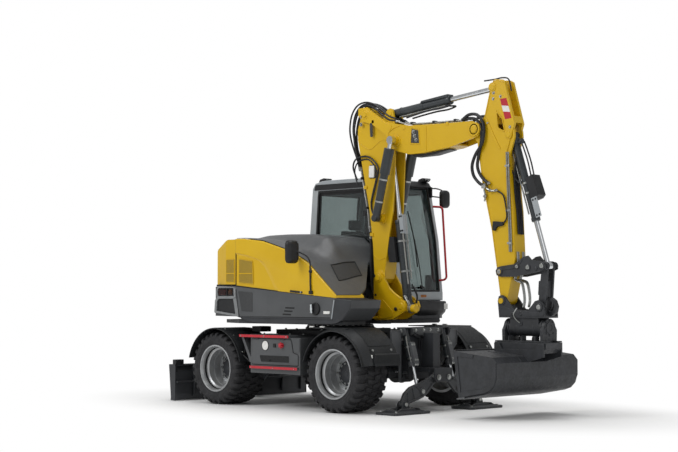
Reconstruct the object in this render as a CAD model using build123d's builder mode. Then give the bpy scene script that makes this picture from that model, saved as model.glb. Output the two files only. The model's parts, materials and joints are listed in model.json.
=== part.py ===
"""A wheeled excavator with an articulated boom, a dozer blade and two stabilisers.

Millimetres. X runs forward from the blade to the bucket, Y to the left, Z up from the ground.
"""
from build123d import *
from math import cos, radians, sin
import os

os.makedirs("parts", exist_ok=True)

# Wheels and axles
tyre_r = 460
tyre_in = 715  # inner side of a tyre, from the middle of the machine
tyre_out = 1215
tyre_mid = (tyre_in + tyre_out) / 2
shoulder_r = 60
bead_r = 287
rim_out = 1200
dish_face = 913  # outer face of the wheel disc
front_x = 325
rear_x = -1825
axle_z = tyre_r
king_y = 850  # steering axis
king_r = 22
spindle_r = 40
running = 0.05  # clearance of a pin in its bore

# Undercarriage
frame_half = 300
frame_bottom = 480
frame_top = 800
deck_z = 1010  # nothing under the slewing upper body stands higher
slew_x = -750
slew_r = 430
slew_z = 1039.5
body_z = 1040  # underside of the upper body
arch_rear_r = 505
arch_front_r = 562  # room for the steered wheels
fender_in = 640
fender_out = 1225
fender_start = 12  # angle of a fender's front edge above level
skin = 12

# Towing and lashing holes
lash_r = 20
tow_x = -2150
tow_z = (560, 590)
lash_at = (800, 110)
lash_z = (470, 520)

# Blade
blade_hinge = (-2250, 460)
blade_top_pin = (-2180, 740)
blade_eye = (-2560, 500)
blade_half = 1200

# Stabilisers
leg_pivot = (90, 410)  # y, z on the left side
leg_eye = (338, 250)
leg_foot = (675, 110)
leg_x = 965  # middle of the leg plate
leg_half = 20
eye_x = 905
ram_top = (690, 338, 962)
pad_x = (795, 1145)

# Upper body
side_y = 1120
cab_right = 170
cab_left = 1130
front_glass_y = 360
door_hinge = (-890, 1142)
hood_hinge = (-1545, 2140)
wall = 15

# Boom linkage, points in X and Z
foot_pin = (50, 1618)
lift_foot = (440, 1262)
lift_eye = (165, 3220)
knee_pin = (-180, 3685)
adjust_foot = (92, 2358)
adjust_eye = (350, 3313)
nose_pin = (1620, 3360)
arm_ram_foot = (210, 3670)
arm_ram_eye = (1870, 3838)
bucket_ram_foot = (2110, 3260)
rocker_pin = (1980, 1670)
link_pin = (2600, 1730)
tip_pin = (2020, 1333)
boom_half = 100
plate_in = 110  # inner faces of the upper boom's side plates
plate_out = 130
arm_half = 95
adjust_y = 215
swing_ram_foot = (-950, -400)
swing_ram_eye = (105, -400)
swing_ram_z = 1185
tilt_z = 1028
bucket_half = 750

# Frame
centring = 45  # from the boom's swing axis back to the middle of the length, where the origin is


def plate_y(points, y0, y1, mode=Mode.ADD):
    """A plate with its outline in X and Z, from y0 to y1."""
    with BuildSketch(Plane.XZ.offset(-y0)) as outline:
        with BuildLine():
            Polyline(*points, close=True)
        make_face()
    extrude(outline.sketch, amount=y0 - y1, mode=mode)


def plate_x(points, x0, x1, mode=Mode.ADD):
    """A plate with its outline in Y and Z, from x0 to x1."""
    with BuildSketch(Plane.YZ.offset(x0)) as outline:
        with BuildLine():
            Polyline(*points, close=True)
        make_face()
    extrude(outline.sketch, amount=x1 - x0, mode=mode)


def plate_z(points, z0, z1, mode=Mode.ADD):
    """A plate with its outline in X and Y, from z0 to z1."""
    with BuildSketch(Plane.XY.offset(z0)) as outline:
        with BuildLine():
            Polyline(*points, close=True)
        make_face()
    extrude(outline.sketch, amount=z1 - z0, mode=mode)


def block(x, y, z, mode=Mode.ADD):
    """A box from three pairs of limits."""
    with Locations(((x[0] + x[1]) / 2, (y[0] + y[1]) / 2, (z[0] + z[1]) / 2)):
        Box(x[1] - x[0], y[1] - y[0], z[1] - z[0], mode=mode)


def bar(start, end, r, mode=Mode.ADD):
    """A round bar between two points."""
    run = Vector(*end) - Vector(*start)
    with BuildSketch(Plane(origin=start, z_dir=run)) as section:
        Circle(r)
    extrude(section.sketch, amount=run.length, mode=mode)


def pin_y(at, r, y0, y1, mode=Mode.ADD):
    """A round pin across the machine at a point in X and Z."""
    bar((at[0], y0, at[1]), (at[0], y1, at[1]), r, mode)


def along(start, end, distance):
    """The point at a distance from start towards end."""
    run = Vector(*end) - Vector(*start)
    return tuple(Vector(*start) + run * (distance / run.length))


def ram_point(at, y=0):
    """A point of the boom's side view, as X, Y, Z."""
    return (at[0], y, at[1])


def save(piece, name):
    """Label a finished piece, bring it to the stored frame and write it as one node."""
    placed = piece.part.moved(Location((centring, 0, 0)))
    placed.label = name
    export_step(placed, f"parts/{name}.step")


# ---------------------------------------------------------------- undercarriage

with BuildPart() as chassis:
    side = [(-2100, frame_bottom), (-1965, frame_bottom), (-1935, 550), (-1715, 550), (-1685, frame_bottom),
            (185, frame_bottom), (215, 550), (435, 550), (465, frame_bottom), (690, frame_bottom),
            (690, frame_top), (-2100, frame_top)]
    plate_y(side, frame_half - 60, frame_half)
    block((-2100, 690), (0, frame_half - 60), (770, frame_top))
    block((-1400, 60), (0, frame_half - 60), (frame_bottom, 500))
    block((660, 690), (0, frame_half - 60), (frame_bottom, 770))
    block((-2100, -2070), (0, frame_half - 60), (frame_bottom, 770))
    block((-888, -239), (0, 420), (385, frame_bottom))
    # ears for the blade's arms and its rams
    hinge_ear = [(-2100, 520), (-2100, 400), (-2285, 400), (-2305, 430), (-2305, 490), (-2285, 520)]
    plate_y(hinge_ear, 245, 275)
    pin_y(blade_hinge, 30, 205, 275)
    ram_ear = [(-2100, 790), (-2100, 690), (-2200, 690), (-2225, 715), (-2225, 765), (-2200, 790)]
    for y in (105, 195):
        plate_y(ram_ear, y, y + 20)
    pin_y(blade_top_pin, 20, 105, 215)
    mirror(about=Plane.XZ)
    # the towing plate between the blade's arms
    block((-2190, -2100), (-60, 60), tow_z)
    with Locations((tow_x, 0, sum(tow_z) / 2)):
        Cylinder(lash_r, tow_z[1] - tow_z[0], mode=Mode.SUBTRACT)
    with BuildSketch(Plane.XY.offset(frame_top)):
        with Locations((slew_x, 0)):
            Circle(slew_r)
    extrude(amount=deck_z - frame_top)
    with BuildSketch(Plane.XY.offset(deck_z)):
        with Locations((slew_x, 0)):
            Circle(slew_r - 40)
    extrude(amount=slew_z - deck_z)
save(chassis, "chassis")

with BuildPart() as axles:
    # the steered axle ends in an eye for the king pin
    bar((front_x, 0, axle_z), (front_x, 600, axle_z), 85)
    block((front_x - 45, front_x + 45), (560, king_y), (axle_z - 50, axle_z + 50))
    bar((front_x, king_y, axle_z - 58), (front_x, king_y, axle_z + 58), 32)
    bar((front_x, king_y, axle_z - 60), (front_x, king_y, axle_z + 60), king_r + running, Mode.SUBTRACT)
    # the rear axle carries its wheels on fixed spindles
    bar((rear_x, 0, axle_z), (rear_x, 640, axle_z), 85)
    bar((rear_x, 640, axle_z), (rear_x, 886, axle_z), 70)
    bar((rear_x, 886, axle_z), (rear_x, 900, axle_z), 110)
    bar((rear_x, 900, axle_z), (rear_x, 935, axle_z), spindle_r)
    for x in (front_x, rear_x):
        block((x - 90, x + 90), (frame_half - 60, frame_half), (axle_z, 550))
    mirror(about=Plane.XZ)
    for x in (front_x, rear_x):
        bar((x, -120, axle_z), (x, 120, axle_z), 140)
    bar((front_x, 0, 560), (rear_x, 0, 560), 35)
    block((-1700, -1450), (-130, 130), (470, 680))
save(axles, "axles")


def knuckle_solid(side):
    """The steering knuckle: a fork on the king pin and the wheel's spindle. Side is 1 on the left."""
    y = side * king_y
    bar((front_x, y, axle_z - 85), (front_x, y, axle_z + 85), king_r)
    for low in (-85, 63):
        with BuildSketch(Plane.XY.offset(axle_z + low)) as fork:
            with Locations((front_x, y)):
                Circle(40)
            with Locations((front_x, side * (king_y + 22))):
                Rectangle(80, 44)
        extrude(fork.sketch, amount=22)
    bar((front_x, side * 886, axle_z), (front_x, side * 900, axle_z), 110)
    bar((front_x, side * 900, axle_z), (front_x, side * 935, axle_z), spindle_r)


with BuildPart() as knuckle_right:
    knuckle_solid(-1)
save(knuckle_right, "knuckle_right")

with BuildPart() as knuckle_left:
    knuckle_solid(1)
save(knuckle_left, "knuckle_left")


def tyre_solid(x, side):
    """A wide tyre: round shoulders, bulging walls and a bead seat on the rim."""
    inner = side * tyre_mid
    tread = tyre_out - tyre_mid - shoulder_r
    half = tyre_out - tyre_mid
    with BuildSketch(Plane((x, inner, axle_z))) as section:
        with BuildLine():
            Line((bead_r, -222), (bead_r, 222))
            Line((bead_r, 222), (bead_r + 15, 222))
            Line((bead_r + 15, 222), (345, half))
            Line((345, half), (tyre_r - shoulder_r, half))
            RadiusArc((tyre_r - shoulder_r, half), (tyre_r, tread), shoulder_r)
            Line((tyre_r, tread), (tyre_r, -tread))
            RadiusArc((tyre_r, -tread), (tyre_r - shoulder_r, -half), shoulder_r)
            Line((tyre_r - shoulder_r, -half), (345, -half))
            Line((345, -half), (bead_r + 15, -222))
            Line((bead_r + 15, -222), (bead_r, -222))
        make_face()
    revolve(section.sketch, axis=Axis((x, inner, axle_z), (0, 1, 0)))


def rim_solid(x, side):
    """A deep dished rim with a closed hub. Radius runs along X in the section, depth along Y."""
    near = tyre_mid - 235
    profile = [(bead_r, near), (bead_r + 13, near), (bead_r + 13, near + 12), (bead_r, near + 13),
               (bead_r, rim_out - 13), (bead_r + 13, rim_out - 12), (bead_r + 13, rim_out),
               (bead_r - 5, rim_out), (bead_r - 17, rim_out - 30), (bead_r - 24, rim_out - 80),
               (bead_r - 50, rim_out - 100), (228, dish_face), (150, dish_face), (150, 946),
               (90, 950), (0, 950), (0, 938), (spindle_r + running, 938), (spindle_r + running, 910),
               (120, 910), (120, dish_face - 33), (150, dish_face - 33), (150, dish_face - 15),
               (245, dish_face - 15), (262, dish_face - 40), (268, near)]
    with BuildSketch(Plane((x, 0, axle_z))) as section:
        with BuildLine():
            Polyline(*[(r, side * y) for r, y in profile], close=True)
        make_face()
    revolve(section.sketch, axis=Axis((x, 0, axle_z), (0, 1, 0)))


wheels = {"fr": (front_x, -1), "fl": (front_x, 1), "rr": (rear_x, -1), "rl": (rear_x, 1)}
for name, (x, side) in wheels.items():
    with BuildPart() as tyre:
        tyre_solid(x, side)
    save(tyre, f"tyre_{name}")
    with BuildPart() as rim:
        rim_solid(x, side)
    save(rim, f"rim_{name}")


def arch(x, profile, stop):
    """A fender's arch on the left side, turned about the wheel from its front edge to the angle stop."""
    with BuildSketch(Plane((x, 0, axle_z))) as section:
        with BuildLine():
            Polyline(*profile, close=True)
        make_face()
    revolve(section.sketch, axis=Axis((x, 0, axle_z), (0, -1, 0)), revolution_arc=stop)
    reach = 900
    start = radians(fender_start)
    cut = [(x, axle_z), (x + reach, axle_z), (x + reach * cos(start), axle_z + reach * sin(start))]
    plate_y(cut, 0, fender_out + 10, Mode.SUBTRACT)


# the front arch bends in to a narrow lip round the steered wheel
front_profile = [(arch_front_r, fender_in), (arch_front_r, 1090), (arch_rear_r, 1190),
                 (arch_rear_r, fender_out), (arch_rear_r + skin, fender_out), (arch_rear_r + skin, 1195),
                 (arch_front_r + skin, 1095), (arch_front_r + skin, fender_in)]
rear_profile = [(arch_rear_r, fender_in), (arch_rear_r, fender_out), (arch_rear_r + skin, fender_out),
                (arch_rear_r + skin, fender_in)]


with BuildPart() as rear_arch:
    arch(rear_x, rear_profile, 166)
    mirror(about=Plane.XZ)

with BuildPart() as fenders:
    arch(front_x, front_profile, 164)
    block((-400, 1100), (0, fender_out + 10), (deck_z, deck_z + 60), Mode.SUBTRACT)
    block((-150, 500), (fender_in, 1130), (deck_z - skin, deck_z))
    block((front_x - 40, front_x + 40), (frame_half - 60, fender_in + 60), (940, deck_z - skin))
    block((front_x - 40, front_x + 40), (frame_half - 60, frame_half), (frame_top, 940))
    mirror(about=Plane.XZ)
    add(rear_arch.part)
save(fenders, "fenders")

with BuildPart() as side_boxes:
    # a tool box with a tread on top, between the wheels on each side
    block((-1150, -250), (620, 1190), (430, 876))
    block((-1330, -430), (620, 1220), (876, 900))
    block((-1130, -275), (1190, 1225), (490, 514))
    block((-800, -700), (frame_half, 620), (700, 780))
    cheek = [(-1330, 876), (-1330, 900), (-1300, 900), (-1150, 620), (-1150, 560), (-1165, 560)]
    plate_y(cheek, 1100, 1190)
    mirror(about=Plane.XZ)
save(side_boxes, "side_boxes")

# ---------------------------------------------------------------- blade

with BuildPart() as blade:
    shape = [(-2650, 8), (-2725, 8), (-2705, 60), (-2680, 150), (-2672, 250), (-2690, 370), (-2735, 465),
             (-2770, 480), (-2700, 480), (-2660, 400), (-2640, 250), (-2640, 90)]
    plate_y(shape, 0, blade_half)
    cheek = [(-2650, 8), (-2725, 8), (-2770, 480), (-2640, 480), (-2640, 8)]
    plate_y(cheek, blade_half - 14, blade_half)
    arm_side = [(-2210, 420), (-2205, 480), (-2250, 510), (-2300, 500), (-2470, 470), (-2530, 545),
                (-2590, 545), (-2640, 440), (-2640, 120), (-2560, 130), (-2290, 405), (-2250, 410)]
    plate_y(arm_side, 205, 240)
    pin_y(blade_hinge, 30 + running, 205, 240, Mode.SUBTRACT)
    inner_ear = [(-2530, 545), (-2590, 545), (-2690, 440), (-2655, 300), (-2480, 420)]
    plate_y(inner_ear, 105, 125)
    block((-2600, -2560), (0, 205), (170, 250))
    block((-2640, -2600), (0, 240), (170, 250))
    mirror(about=Plane.XZ)
save(blade, "blade")

top = ram_point(blade_top_pin, 160)
eye = ram_point(blade_eye, 160)
with BuildPart() as blade_barrels:
    bar((top[0], 130, top[2]), (top[0], 190, top[2]), 36)
    bar(top, along(top, eye, 290), 34)
    bar((top[0], 110, top[2]), (top[0], 210, top[2]), 20 + running, Mode.SUBTRACT)
    bar(along(top, eye, 75), along(top, eye, 292), 20 + running, Mode.SUBTRACT)
    mirror(about=Plane.XZ)
save(blade_barrels, "blade_barrels")

with BuildPart() as blade_rods:
    bar(along(top, eye, 200), eye, 20)
    bar((eye[0], 132, eye[2]), (eye[0], 188, eye[2]), 32)
    mirror(about=Plane.XZ)
save(blade_rods, "blade_rods")

# ---------------------------------------------------------------- stabilisers

with BuildPart() as stabiliser_frame:
    block((690, 705), (0, 290), (380, 960))
    block((690, 900), (0, 60), (520, 940))
    block((690, 915), (0, 160), lash_z)
    with Locations((*lash_at, sum(lash_z) / 2)):
        Cylinder(lash_r, lash_z[1] - lash_z[0], mode=Mode.SUBTRACT)
    # two plates hold the pivots of the legs
    clevis = [(0, 520), (160, 520), (160, 400), (130, 350), (0, 350)]
    plate_x(clevis, 915, 933)
    plate_x(clevis, 997, 1015)
    block((933, 997), (0, 30), (480, 520))
    bar((915, leg_pivot[0], leg_pivot[1]), (1015, leg_pivot[0], leg_pivot[1]), 28)
    # the top cross member and the cheeks that hold the rams
    block((690, 733), (0, 290), (955, deck_z))
    block((622, 636), (272, 404), (920, deck_z))
    for y in (272, 386):
        block((636, 750), (y, y + 18), (920, deck_z))
    mirror(about=Plane.XZ)
save(stabiliser_frame, "stabiliser_frame")


def leg_solid():
    """A left leg: one broad curved plate with a boss at each end."""
    outline = [(50, 440), (90, 462), (140, 450), (250, 395), (400, 350), (560, 310), (660, 240), (712, 140),
               (712, 90), (675, 66), (625, 90), (560, 120), (430, 150), (330, 180), (240, 230), (150, 320),
               (60, 370)]
    plate_x(outline, leg_x - leg_half, leg_x + leg_half)
    bar((leg_x - leg_half - 10, *leg_pivot), (leg_x + leg_half + 10, *leg_pivot), 52)
    bar((leg_x - leg_half - 10, *leg_foot), (leg_x + leg_half + 10, *leg_foot), 42)
    bar((leg_x - 40, *leg_pivot), (leg_x + 40, *leg_pivot), 28 + running, Mode.SUBTRACT)
    bar((leg_x - 40, *leg_foot), (leg_x + 40, *leg_foot), 22 + running, Mode.SUBTRACT)


def pad_solid():
    """A left foot pad: a dished plate and two lugs."""
    with BuildSketch(Plane.XY) as sole:
        with Locations((sum(pad_x) / 2, leg_foot[0])):
            RectangleRounded(pad_x[1] - pad_x[0], 640, 60)
    extrude(sole.sketch, amount=18)
    with BuildSketch(Plane.XY.offset(18)) as lower:
        with Locations((sum(pad_x) / 2, leg_foot[0])):
            RectangleRounded(pad_x[1] - pad_x[0] - 40, 600, 50)
    with BuildSketch(Plane.XY.offset(40)) as upper:
        with Locations((sum(pad_x) / 2, leg_foot[0])):
            RectangleRounded(pad_x[1] - pad_x[0] - 110, 520, 40)
    loft([lower.sketch, upper.sketch])
    lug = [(600, 40), (750, 40), (715, 120), (690, 148), (660, 148), (635, 120)]
    plate_x(lug, leg_x - 52, leg_x - 34)
    plate_x(lug, leg_x + 34, leg_x + 52)
    bar((leg_x - 52, *leg_foot), (leg_x + 52, *leg_foot), 22)


def leg_barrel_solid():
    """A left ram's barrel, which hangs from a ball between the cheeks of the frame."""
    end = (eye_x, *leg_eye)
    with Locations(ram_top):
        Sphere(44)
    bar(ram_top, along(ram_top, end, 430), 40)
    bar(along(ram_top, end, 60), along(ram_top, end, 440), 22 + running, Mode.SUBTRACT)


def leg_rod_solid():
    """A left ram's rod with its lower eye."""
    end = (eye_x, *leg_eye)
    bar(along(ram_top, end, 260), end, 22)
    bar((eye_x - 18, *leg_eye), (eye_x + 14, *leg_eye), 36)


leg_pieces = {"stabiliser_leg": leg_solid, "stabiliser_pad": pad_solid,
              "stabiliser_barrel": leg_barrel_solid, "stabiliser_rod": leg_rod_solid}
for name, solid in leg_pieces.items():
    with BuildPart() as left_piece:
        solid()
    save(left_piece, f"{name}_left")
    with BuildPart() as right_piece:
        add(left_piece.part.mirror(Plane.XZ))
    save(right_piece, f"{name}_right")

# ---------------------------------------------------------------- upper body

with BuildPart() as upper_frame:
    floor = [(-1950, -900), (-1950, 900), (-1500, 1080), (-60, 1080), (60, 1000), (60, 420), (-160, 180),
             (-110, 110), (-110, -110), (-160, -560), (300, -620), (360, -1060), (-1500, -1080)]
    plate_z(floor, body_z, body_z + 45)
    # nose plates above and below the swing bracket
    nose = [(-400, 200), (-60, 110), (0, 112), (60, 94), (104, 40), (104, -40), (60, -94), (0, -112),
            (-60, -110), (-400, -200)]
    plate_z(nose, body_z, body_z + 45)
    plate_z(nose, 1285, 1330)
    block((-430, -330), (-180, -140), (body_z + 45, 1285))
    block((-430, -135), (140, 180), (body_z + 45, 1285))
    block((-1900, -400), (-150, -120), (body_z + 45, 1285))
    block((-1900, -400), (120, 150), (body_z + 45, 1285))
    block((-1900, -125), (-180, 180), (1285, 1310))
    bar((0, 0, body_z), (0, 0, 1330), 50)
    # the swing ram's foot
    block((-1060, -1000), (-470, -330), (body_z + 45, 1260))
    for low in (1110, 1238):
        block((-1000, -920), (-430, -370), (low, low + 22))
    bar((*swing_ram_foot, 1110), (*swing_ram_foot, 1260), 22)
    # the bumper below the cab
    bumper = [(60, 1000), (60, 420), (100, 440), (110, 960), (60, 1060)]
    plate_z(bumper, 1100, 1280)
    block((-1400, 60), (430, 1000), (body_z + 45, 1100))
    block((-1400, 60), (430, 1000), (1240, 1285))
    block((20, 60), (430, 1000), (1100, 1240))
save(upper_frame, "upper_frame")

rear_plan = [(-1540, 1100), (-1750, 1090), (-2020, 1000), (-2190, 850), (-2260, 560), (-2290, 0)]
rear_plan = rear_plan + [(x, -y) for x, y in reversed(rear_plan[:-1])]

with BuildPart() as counterweight:
    plate_z([(-1955, 900), *[(x, y) for x, y in rear_plan[2:-2]], (-1955, -900)], 1130, 1500)
    chamfer(counterweight.edges().filter_by(GeomType.LINE).group_by(Axis.Z)[0], 25)
save(counterweight, "counterweight")

with BuildPart() as rear_hood:
    plate_z(rear_plan, 1535, 2110)
    slope = [(-2400, 1500), (-2400, 2400), (-1400, 2400), (-1400, 2160), (-1700, 2115), (-2000, 1990),
             (-2180, 1760), (-2250, 1530)]
    plate_y(slope, -1200, 1200, Mode.SUBTRACT)
    hollow = [(-1520, 1080), (-1740, 1070), (-2000, 980), (-2165, 840), (-2230, 550), (-2262, 0)]
    hollow = hollow + [(x, -y) for x, y in reversed(hollow[:-1])]
    inner_roof = [(-1400, 1500), (-1400, 2150), (-1705, 2100), (-1985, 1972), (-2160, 1750), (-2230, 1500)]
    with BuildSketch(Plane.XY.offset(1500)) as floor_plan:
        with BuildLine():
            Polyline(*hollow, close=True)
        make_face()
    inside = extrude(floor_plan.sketch, amount=700, mode=Mode.PRIVATE)
    with BuildSketch(Plane.XZ.offset(1200)) as side_plan:
        with BuildLine():
            Polyline(*inner_roof, close=True)
        make_face()
    inside = inside & extrude(side_plan.sketch, amount=-2400, mode=Mode.PRIVATE)
    add(inside, mode=Mode.SUBTRACT)
    for y in (-460, 60):
        block((hood_hinge[0] - 25, hood_hinge[0]), (y, y + 60), (2095, hood_hinge[1] + 8))
        pin_y(hood_hinge, 12, y, y + 60)
save(rear_hood, "rear_hood")

hood_side = [(-1530, 1518), (-820, 1455), (300, 1362), (290, 1390), (-210, 1800), (-510, 1940),
             (-1020, 2080), (-1380, 2120), (-1530, 2120)]
with BuildPart() as side_hood:
    plate_y(hood_side, -side_y, -640)
    inner = [(-1540, 1400), (-820, 1440), (-100, 1350), (240, 1350), (-225, 1780), (-515, 1924),
             (-1020, 2064), (-1380, 2104), (-1540, 2104)]
    plate_y(inner, -side_y + wall, -600, Mode.SUBTRACT)
save(side_hood, "side_hood")

with BuildPart() as side_cover:
    cover = [(-1530, 2125), (-1380, 2125), (-1020, 2086), (-510, 1946), (-205, 1806), (60, 1590),
             (60, 1560), (-120, 1640), (-520, 1800), (-1530, 1800)]
    plate_y(cover, -638, 150)
    rise = [(-1530, 2100), (-1530, 2172), (-1100, 2172), (-370, 2125), (-170, 1810), (-520, 1850)]
    plate_y(rise, -560, 150)
    room = [(-1540, 1750), (-1540, 2090), (-1020, 2060), (-520, 1920), (-250, 1780), (-300, 1600)]
    plate_y(room, -625, 135, Mode.SUBTRACT)
    # the boom swings in front of the cover
    sweep_room = [(-160, 200), (-160, -90), (60, -340), (200, -500), (400, -700), (400, 200)]
    plate_z(sweep_room, 1400, 2300, Mode.SUBTRACT)
save(side_cover, "side_cover")

with BuildPart() as lower_covers:
    low = [(-1530, 1508), (-820, 1448), (560, 1338), (540, 1240), (400, 1100), (-1440, 1120), (-1530, 1400)]
    plate_y(low, -side_y, -620)
    inner = [(-1540, 1550), (-820, 1500), (600, 1400), (520, 1300), (385, 1092), (-1520, 1092)]
    plate_y(inner, -side_y + wall, -635, Mode.SUBTRACT)
    left = [(-1495, 1290), (0, 1290), (-40, 1110), (-1440, 1120)]
    plate_y(left, 1085, cab_left)
    tail = [(-1535, 1290), (-1535, 1505), (-1950, 1505), (-1950, 1130), (-1535, 1125)]
    plate_y(tail, 1060, 1090)
    plate_y(tail, -1090, -1060)
save(lower_covers, "lower_covers")

cab_side = [(-1500, 1330), (-1520, 1900), (-1440, 2810), (-1390, 2880), (-1250, 2900), (-300, 2900),
            (-215, 2870), (-60, 2120), (10, 1420), (10, 1330)]
# the front right corner leans back to leave room for the swung boom
corner = Plane(origin=(0, 235, 1330), z_dir=(-1, 1, -0.19))
with BuildPart() as cab_room:
    room = [(-1450, 1370), (-1470, 1900), (-1395, 2800), (-1370, 2840), (-255, 2840), (-110, 2120),
            (-40, 1420), (-40, 1370)]
    plate_y(room, cab_right + 40, cab_left - 40)
    split(bisect_by=corner.offset(40), keep=Keep.TOP)

with BuildPart() as cab_shell:
    plate_y(cab_side, cab_right, cab_left)
    split(bisect_by=corner, keep=Keep.TOP)
    add(cab_room.part, mode=Mode.SUBTRACT)
    # windows: right side, door opening on the left, front, rear and roof
    right_window = [(-1400, 1900), (-1340, 2780), (-400, 2780), (-275, 2120), (-170, 1560), (-600, 1560),
                    (-800, 1800)]
    plate_y(right_window, cab_right - 5, cab_right + 45, Mode.SUBTRACT)
    rear_quarter = [(-1400, 1900), (-1340, 2780), (-980, 2780), (-980, 1900)]
    plate_y(rear_quarter, cab_left - 45, cab_left + 5, Mode.SUBTRACT)
    door_hole = [(-900, 1400), (-900, 2800), (-300, 2800), (-150, 2120), (-80, 1400)]
    plate_y(door_hole, cab_left - 45, cab_left + 5, Mode.SUBTRACT)
    block((-300, 100), (front_glass_y, cab_left - 60), (1450, 2800), Mode.SUBTRACT)
    block((-1600, -1300), (cab_right + 80, cab_left - 80), (2000, 2740), Mode.SUBTRACT)
    block((-1000, -500), (cab_right + 120, cab_left - 120), (2800, 2950), Mode.SUBTRACT)
save(cab_shell, "cab_shell")

with BuildPart() as cab_glass:
    plate_y(right_window, cab_right + 15, cab_right + 21)
    plate_y(rear_quarter, cab_left - 21, cab_left - 15)
    front = [(-230, 2800), (-76, 2120), (-12, 1480), (-12, 1450), (-18, 1450), (-82, 2120), (-236, 2800)]
    plate_y(front, front_glass_y, cab_left - 60)
    back = [(-1488, 2000), (-1422, 2740), (-1428, 2740), (-1494, 2000)]
    plate_y(back, cab_right + 80, cab_left - 80)
    block((-1000, -500), (cab_right + 120, cab_left - 120), (2870, 2876))
save(cab_glass, "cab_glass")

door_out = [(-895, 1405), (-895, 2795), (-304, 2795), (-155, 2118), (-86, 1405)]
door_hole = [(-850, 1480), (-850, 2745), (-345, 2745), (-205, 2112), (-145, 1480)]
with BuildPart() as cab_door:
    plate_y(door_out, cab_left - 35, cab_left)
    plate_y(door_hole, cab_left - 40, cab_left + 5, Mode.SUBTRACT)
    for z in (1600, 2500):
        block((door_hinge[0] - 2, door_hinge[0] + 30), (cab_left - 10, door_hinge[1]), (z, z + 60))
        bar((*door_hinge, z), (*door_hinge, z + 60), 10)
save(cab_door, "cab_door")

with BuildPart() as door_glass:
    plate_y(door_hole, cab_left - 20, cab_left - 14)
save(door_glass, "door_glass")

with BuildPart() as seat:
    block((-1080, -620), (420, 880), (1560, 1700))
    back = [(-1180, 1700), (-1080, 1700), (-1010, 1700), (-1060, 2300), (-1150, 2300), (-1250, 2240)]
    plate_y(back, 430, 870)
save(seat, "seat")

with BuildPart() as console:
    block((-1050, -650), (480, 820), (1370, 1560))
    for y in (300, 900):
        block((-1000, -560), (y, y + 90), (1700, 1760))
        block((-950, -800), (y + 20, y + 70), (1370, 1700))
    block((-330, -230), (560, 740), (1370, 1700))
save(console, "console")

with BuildPart() as engine:
    block((-1900, -700), (-560, 60), (1320, 1780))
save(engine, "engine")

with BuildPart() as mirrors:
    block((-345, -315), (-1330, -1160), (1790, 2060))
    bar((-330, -1150, 1900), (-330, -1200, 1900), 12)
    bar((-130, -1100, 1780), (-330, -1150, 1900), 12)
    bar((-130, -1100, 1748), (-130, -1100, 1790), 14)
    # the left mirror hangs from the cab's front corner
    block((-60, -30), (1170, 1330), (2560, 2760))
    bar((-170, 1100, 2700), (-45, 1240, 2700), 10)
save(mirrors, "mirrors")

with BuildPart() as handrail:
    with BuildLine() as rail_path:
        FilletPolyline((-110, 1080, 2560), (20, 1120, 2550), (90, 1120, 1600), (0, 1080, 1590), radius=50)
    with BuildSketch(Plane(rail_path.line @ 0, z_dir=rail_path.line % 0)) as rail_section:
        Circle(14)
    sweep(rail_section.sketch, path=rail_path.line)
save(handrail, "handrail")

# ---------------------------------------------------------------- swing bracket

with BuildPart() as swing_bracket:
    bar((0, 0, 1090), (0, 0, 1280), 96)
    block((0, 150), (-84, 84), (1090, 1280))
    cheek = [(125, 1095), (125, 1345), (-30, 1350), (-30, 1600), (-5, 1668), (50, 1690), (105, 1668),
             (240, 1480), (440, 1350), (500, 1320), (525, 1262), (500, 1200), (300, 1100)]
    plate_y(cheek, 105, 130)
    plate_y(cheek, -130, -105)
    block((125, 175), (-105, 105), (1095, 1345))
    block((-30, 40), (-105, 105), (1350, 1375))
    for y in (-105, 65):
        pin_y(lift_foot, 70, y, y + 40)
    pin_y(lift_foot, 32, -150, 150)
    pin_y(foot_pin, 38, -150, 150)
    # ears for the swing ram
    ear = [(-50, -80), (50, -80), (160, -390), (145, -440), (105, -460), (65, -440), (55, -390)]
    plate_z(ear, 1110, 1130)
    plate_z(ear, 1240, 1260)
    bar((0, 0, 1080), (0, 0, 1290), 50 + running, Mode.SUBTRACT)
save(swing_bracket, "swing_bracket")

swing_foot = (*swing_ram_foot, swing_ram_z)
swing_eye = (*swing_ram_eye, swing_ram_z)
with BuildPart() as swing_barrel:
    bar((*swing_ram_foot, swing_ram_z - 35), (*swing_ram_foot, swing_ram_z + 35), 42)
    bar(swing_foot, along(swing_foot, swing_eye, 600), 45)
    bar((*swing_ram_foot, swing_ram_z - 50), (*swing_ram_foot, swing_ram_z + 50),
        22 + running, Mode.SUBTRACT)
    bar(along(swing_foot, swing_eye, 60), along(swing_foot, swing_eye, 610), 24 + running, Mode.SUBTRACT)
save(swing_barrel, "swing_barrel")

with BuildPart() as swing_rod:
    bar(along(swing_foot, swing_eye, 480), swing_eye, 24)
    bar((*swing_ram_eye, swing_ram_z - 38), (*swing_ram_eye, swing_ram_z + 38), 42)
save(swing_rod, "swing_rod")

# ---------------------------------------------------------------- lower boom


def ram_barrel(foot, eye, length, r, bore, pin, half, y=0):
    """A ram's barrel in the plane at y: an eye on its foot pin and a bore for the rod."""
    start = ram_point(foot, y)
    end = ram_point(eye, y)
    pin_y(foot, r * 0.95, y - half, y + half)
    bar(start, along(start, end, length), r)
    pin_y(foot, pin + running, y - half - r, y + half + r, Mode.SUBTRACT)
    bar(along(start, end, r * 1.5), along(start, end, length + 5), bore + running, Mode.SUBTRACT)


def ram_rod(foot, eye, start_at, r, eye_r, half, y=0):
    """A ram's rod in the plane at y, from inside the barrel to its eye."""
    start = ram_point(foot, y)
    end = ram_point(eye, y)
    bar(along(start, end, start_at), end, r)
    pin_y(eye, eye_r, y - half, y + half)


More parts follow.
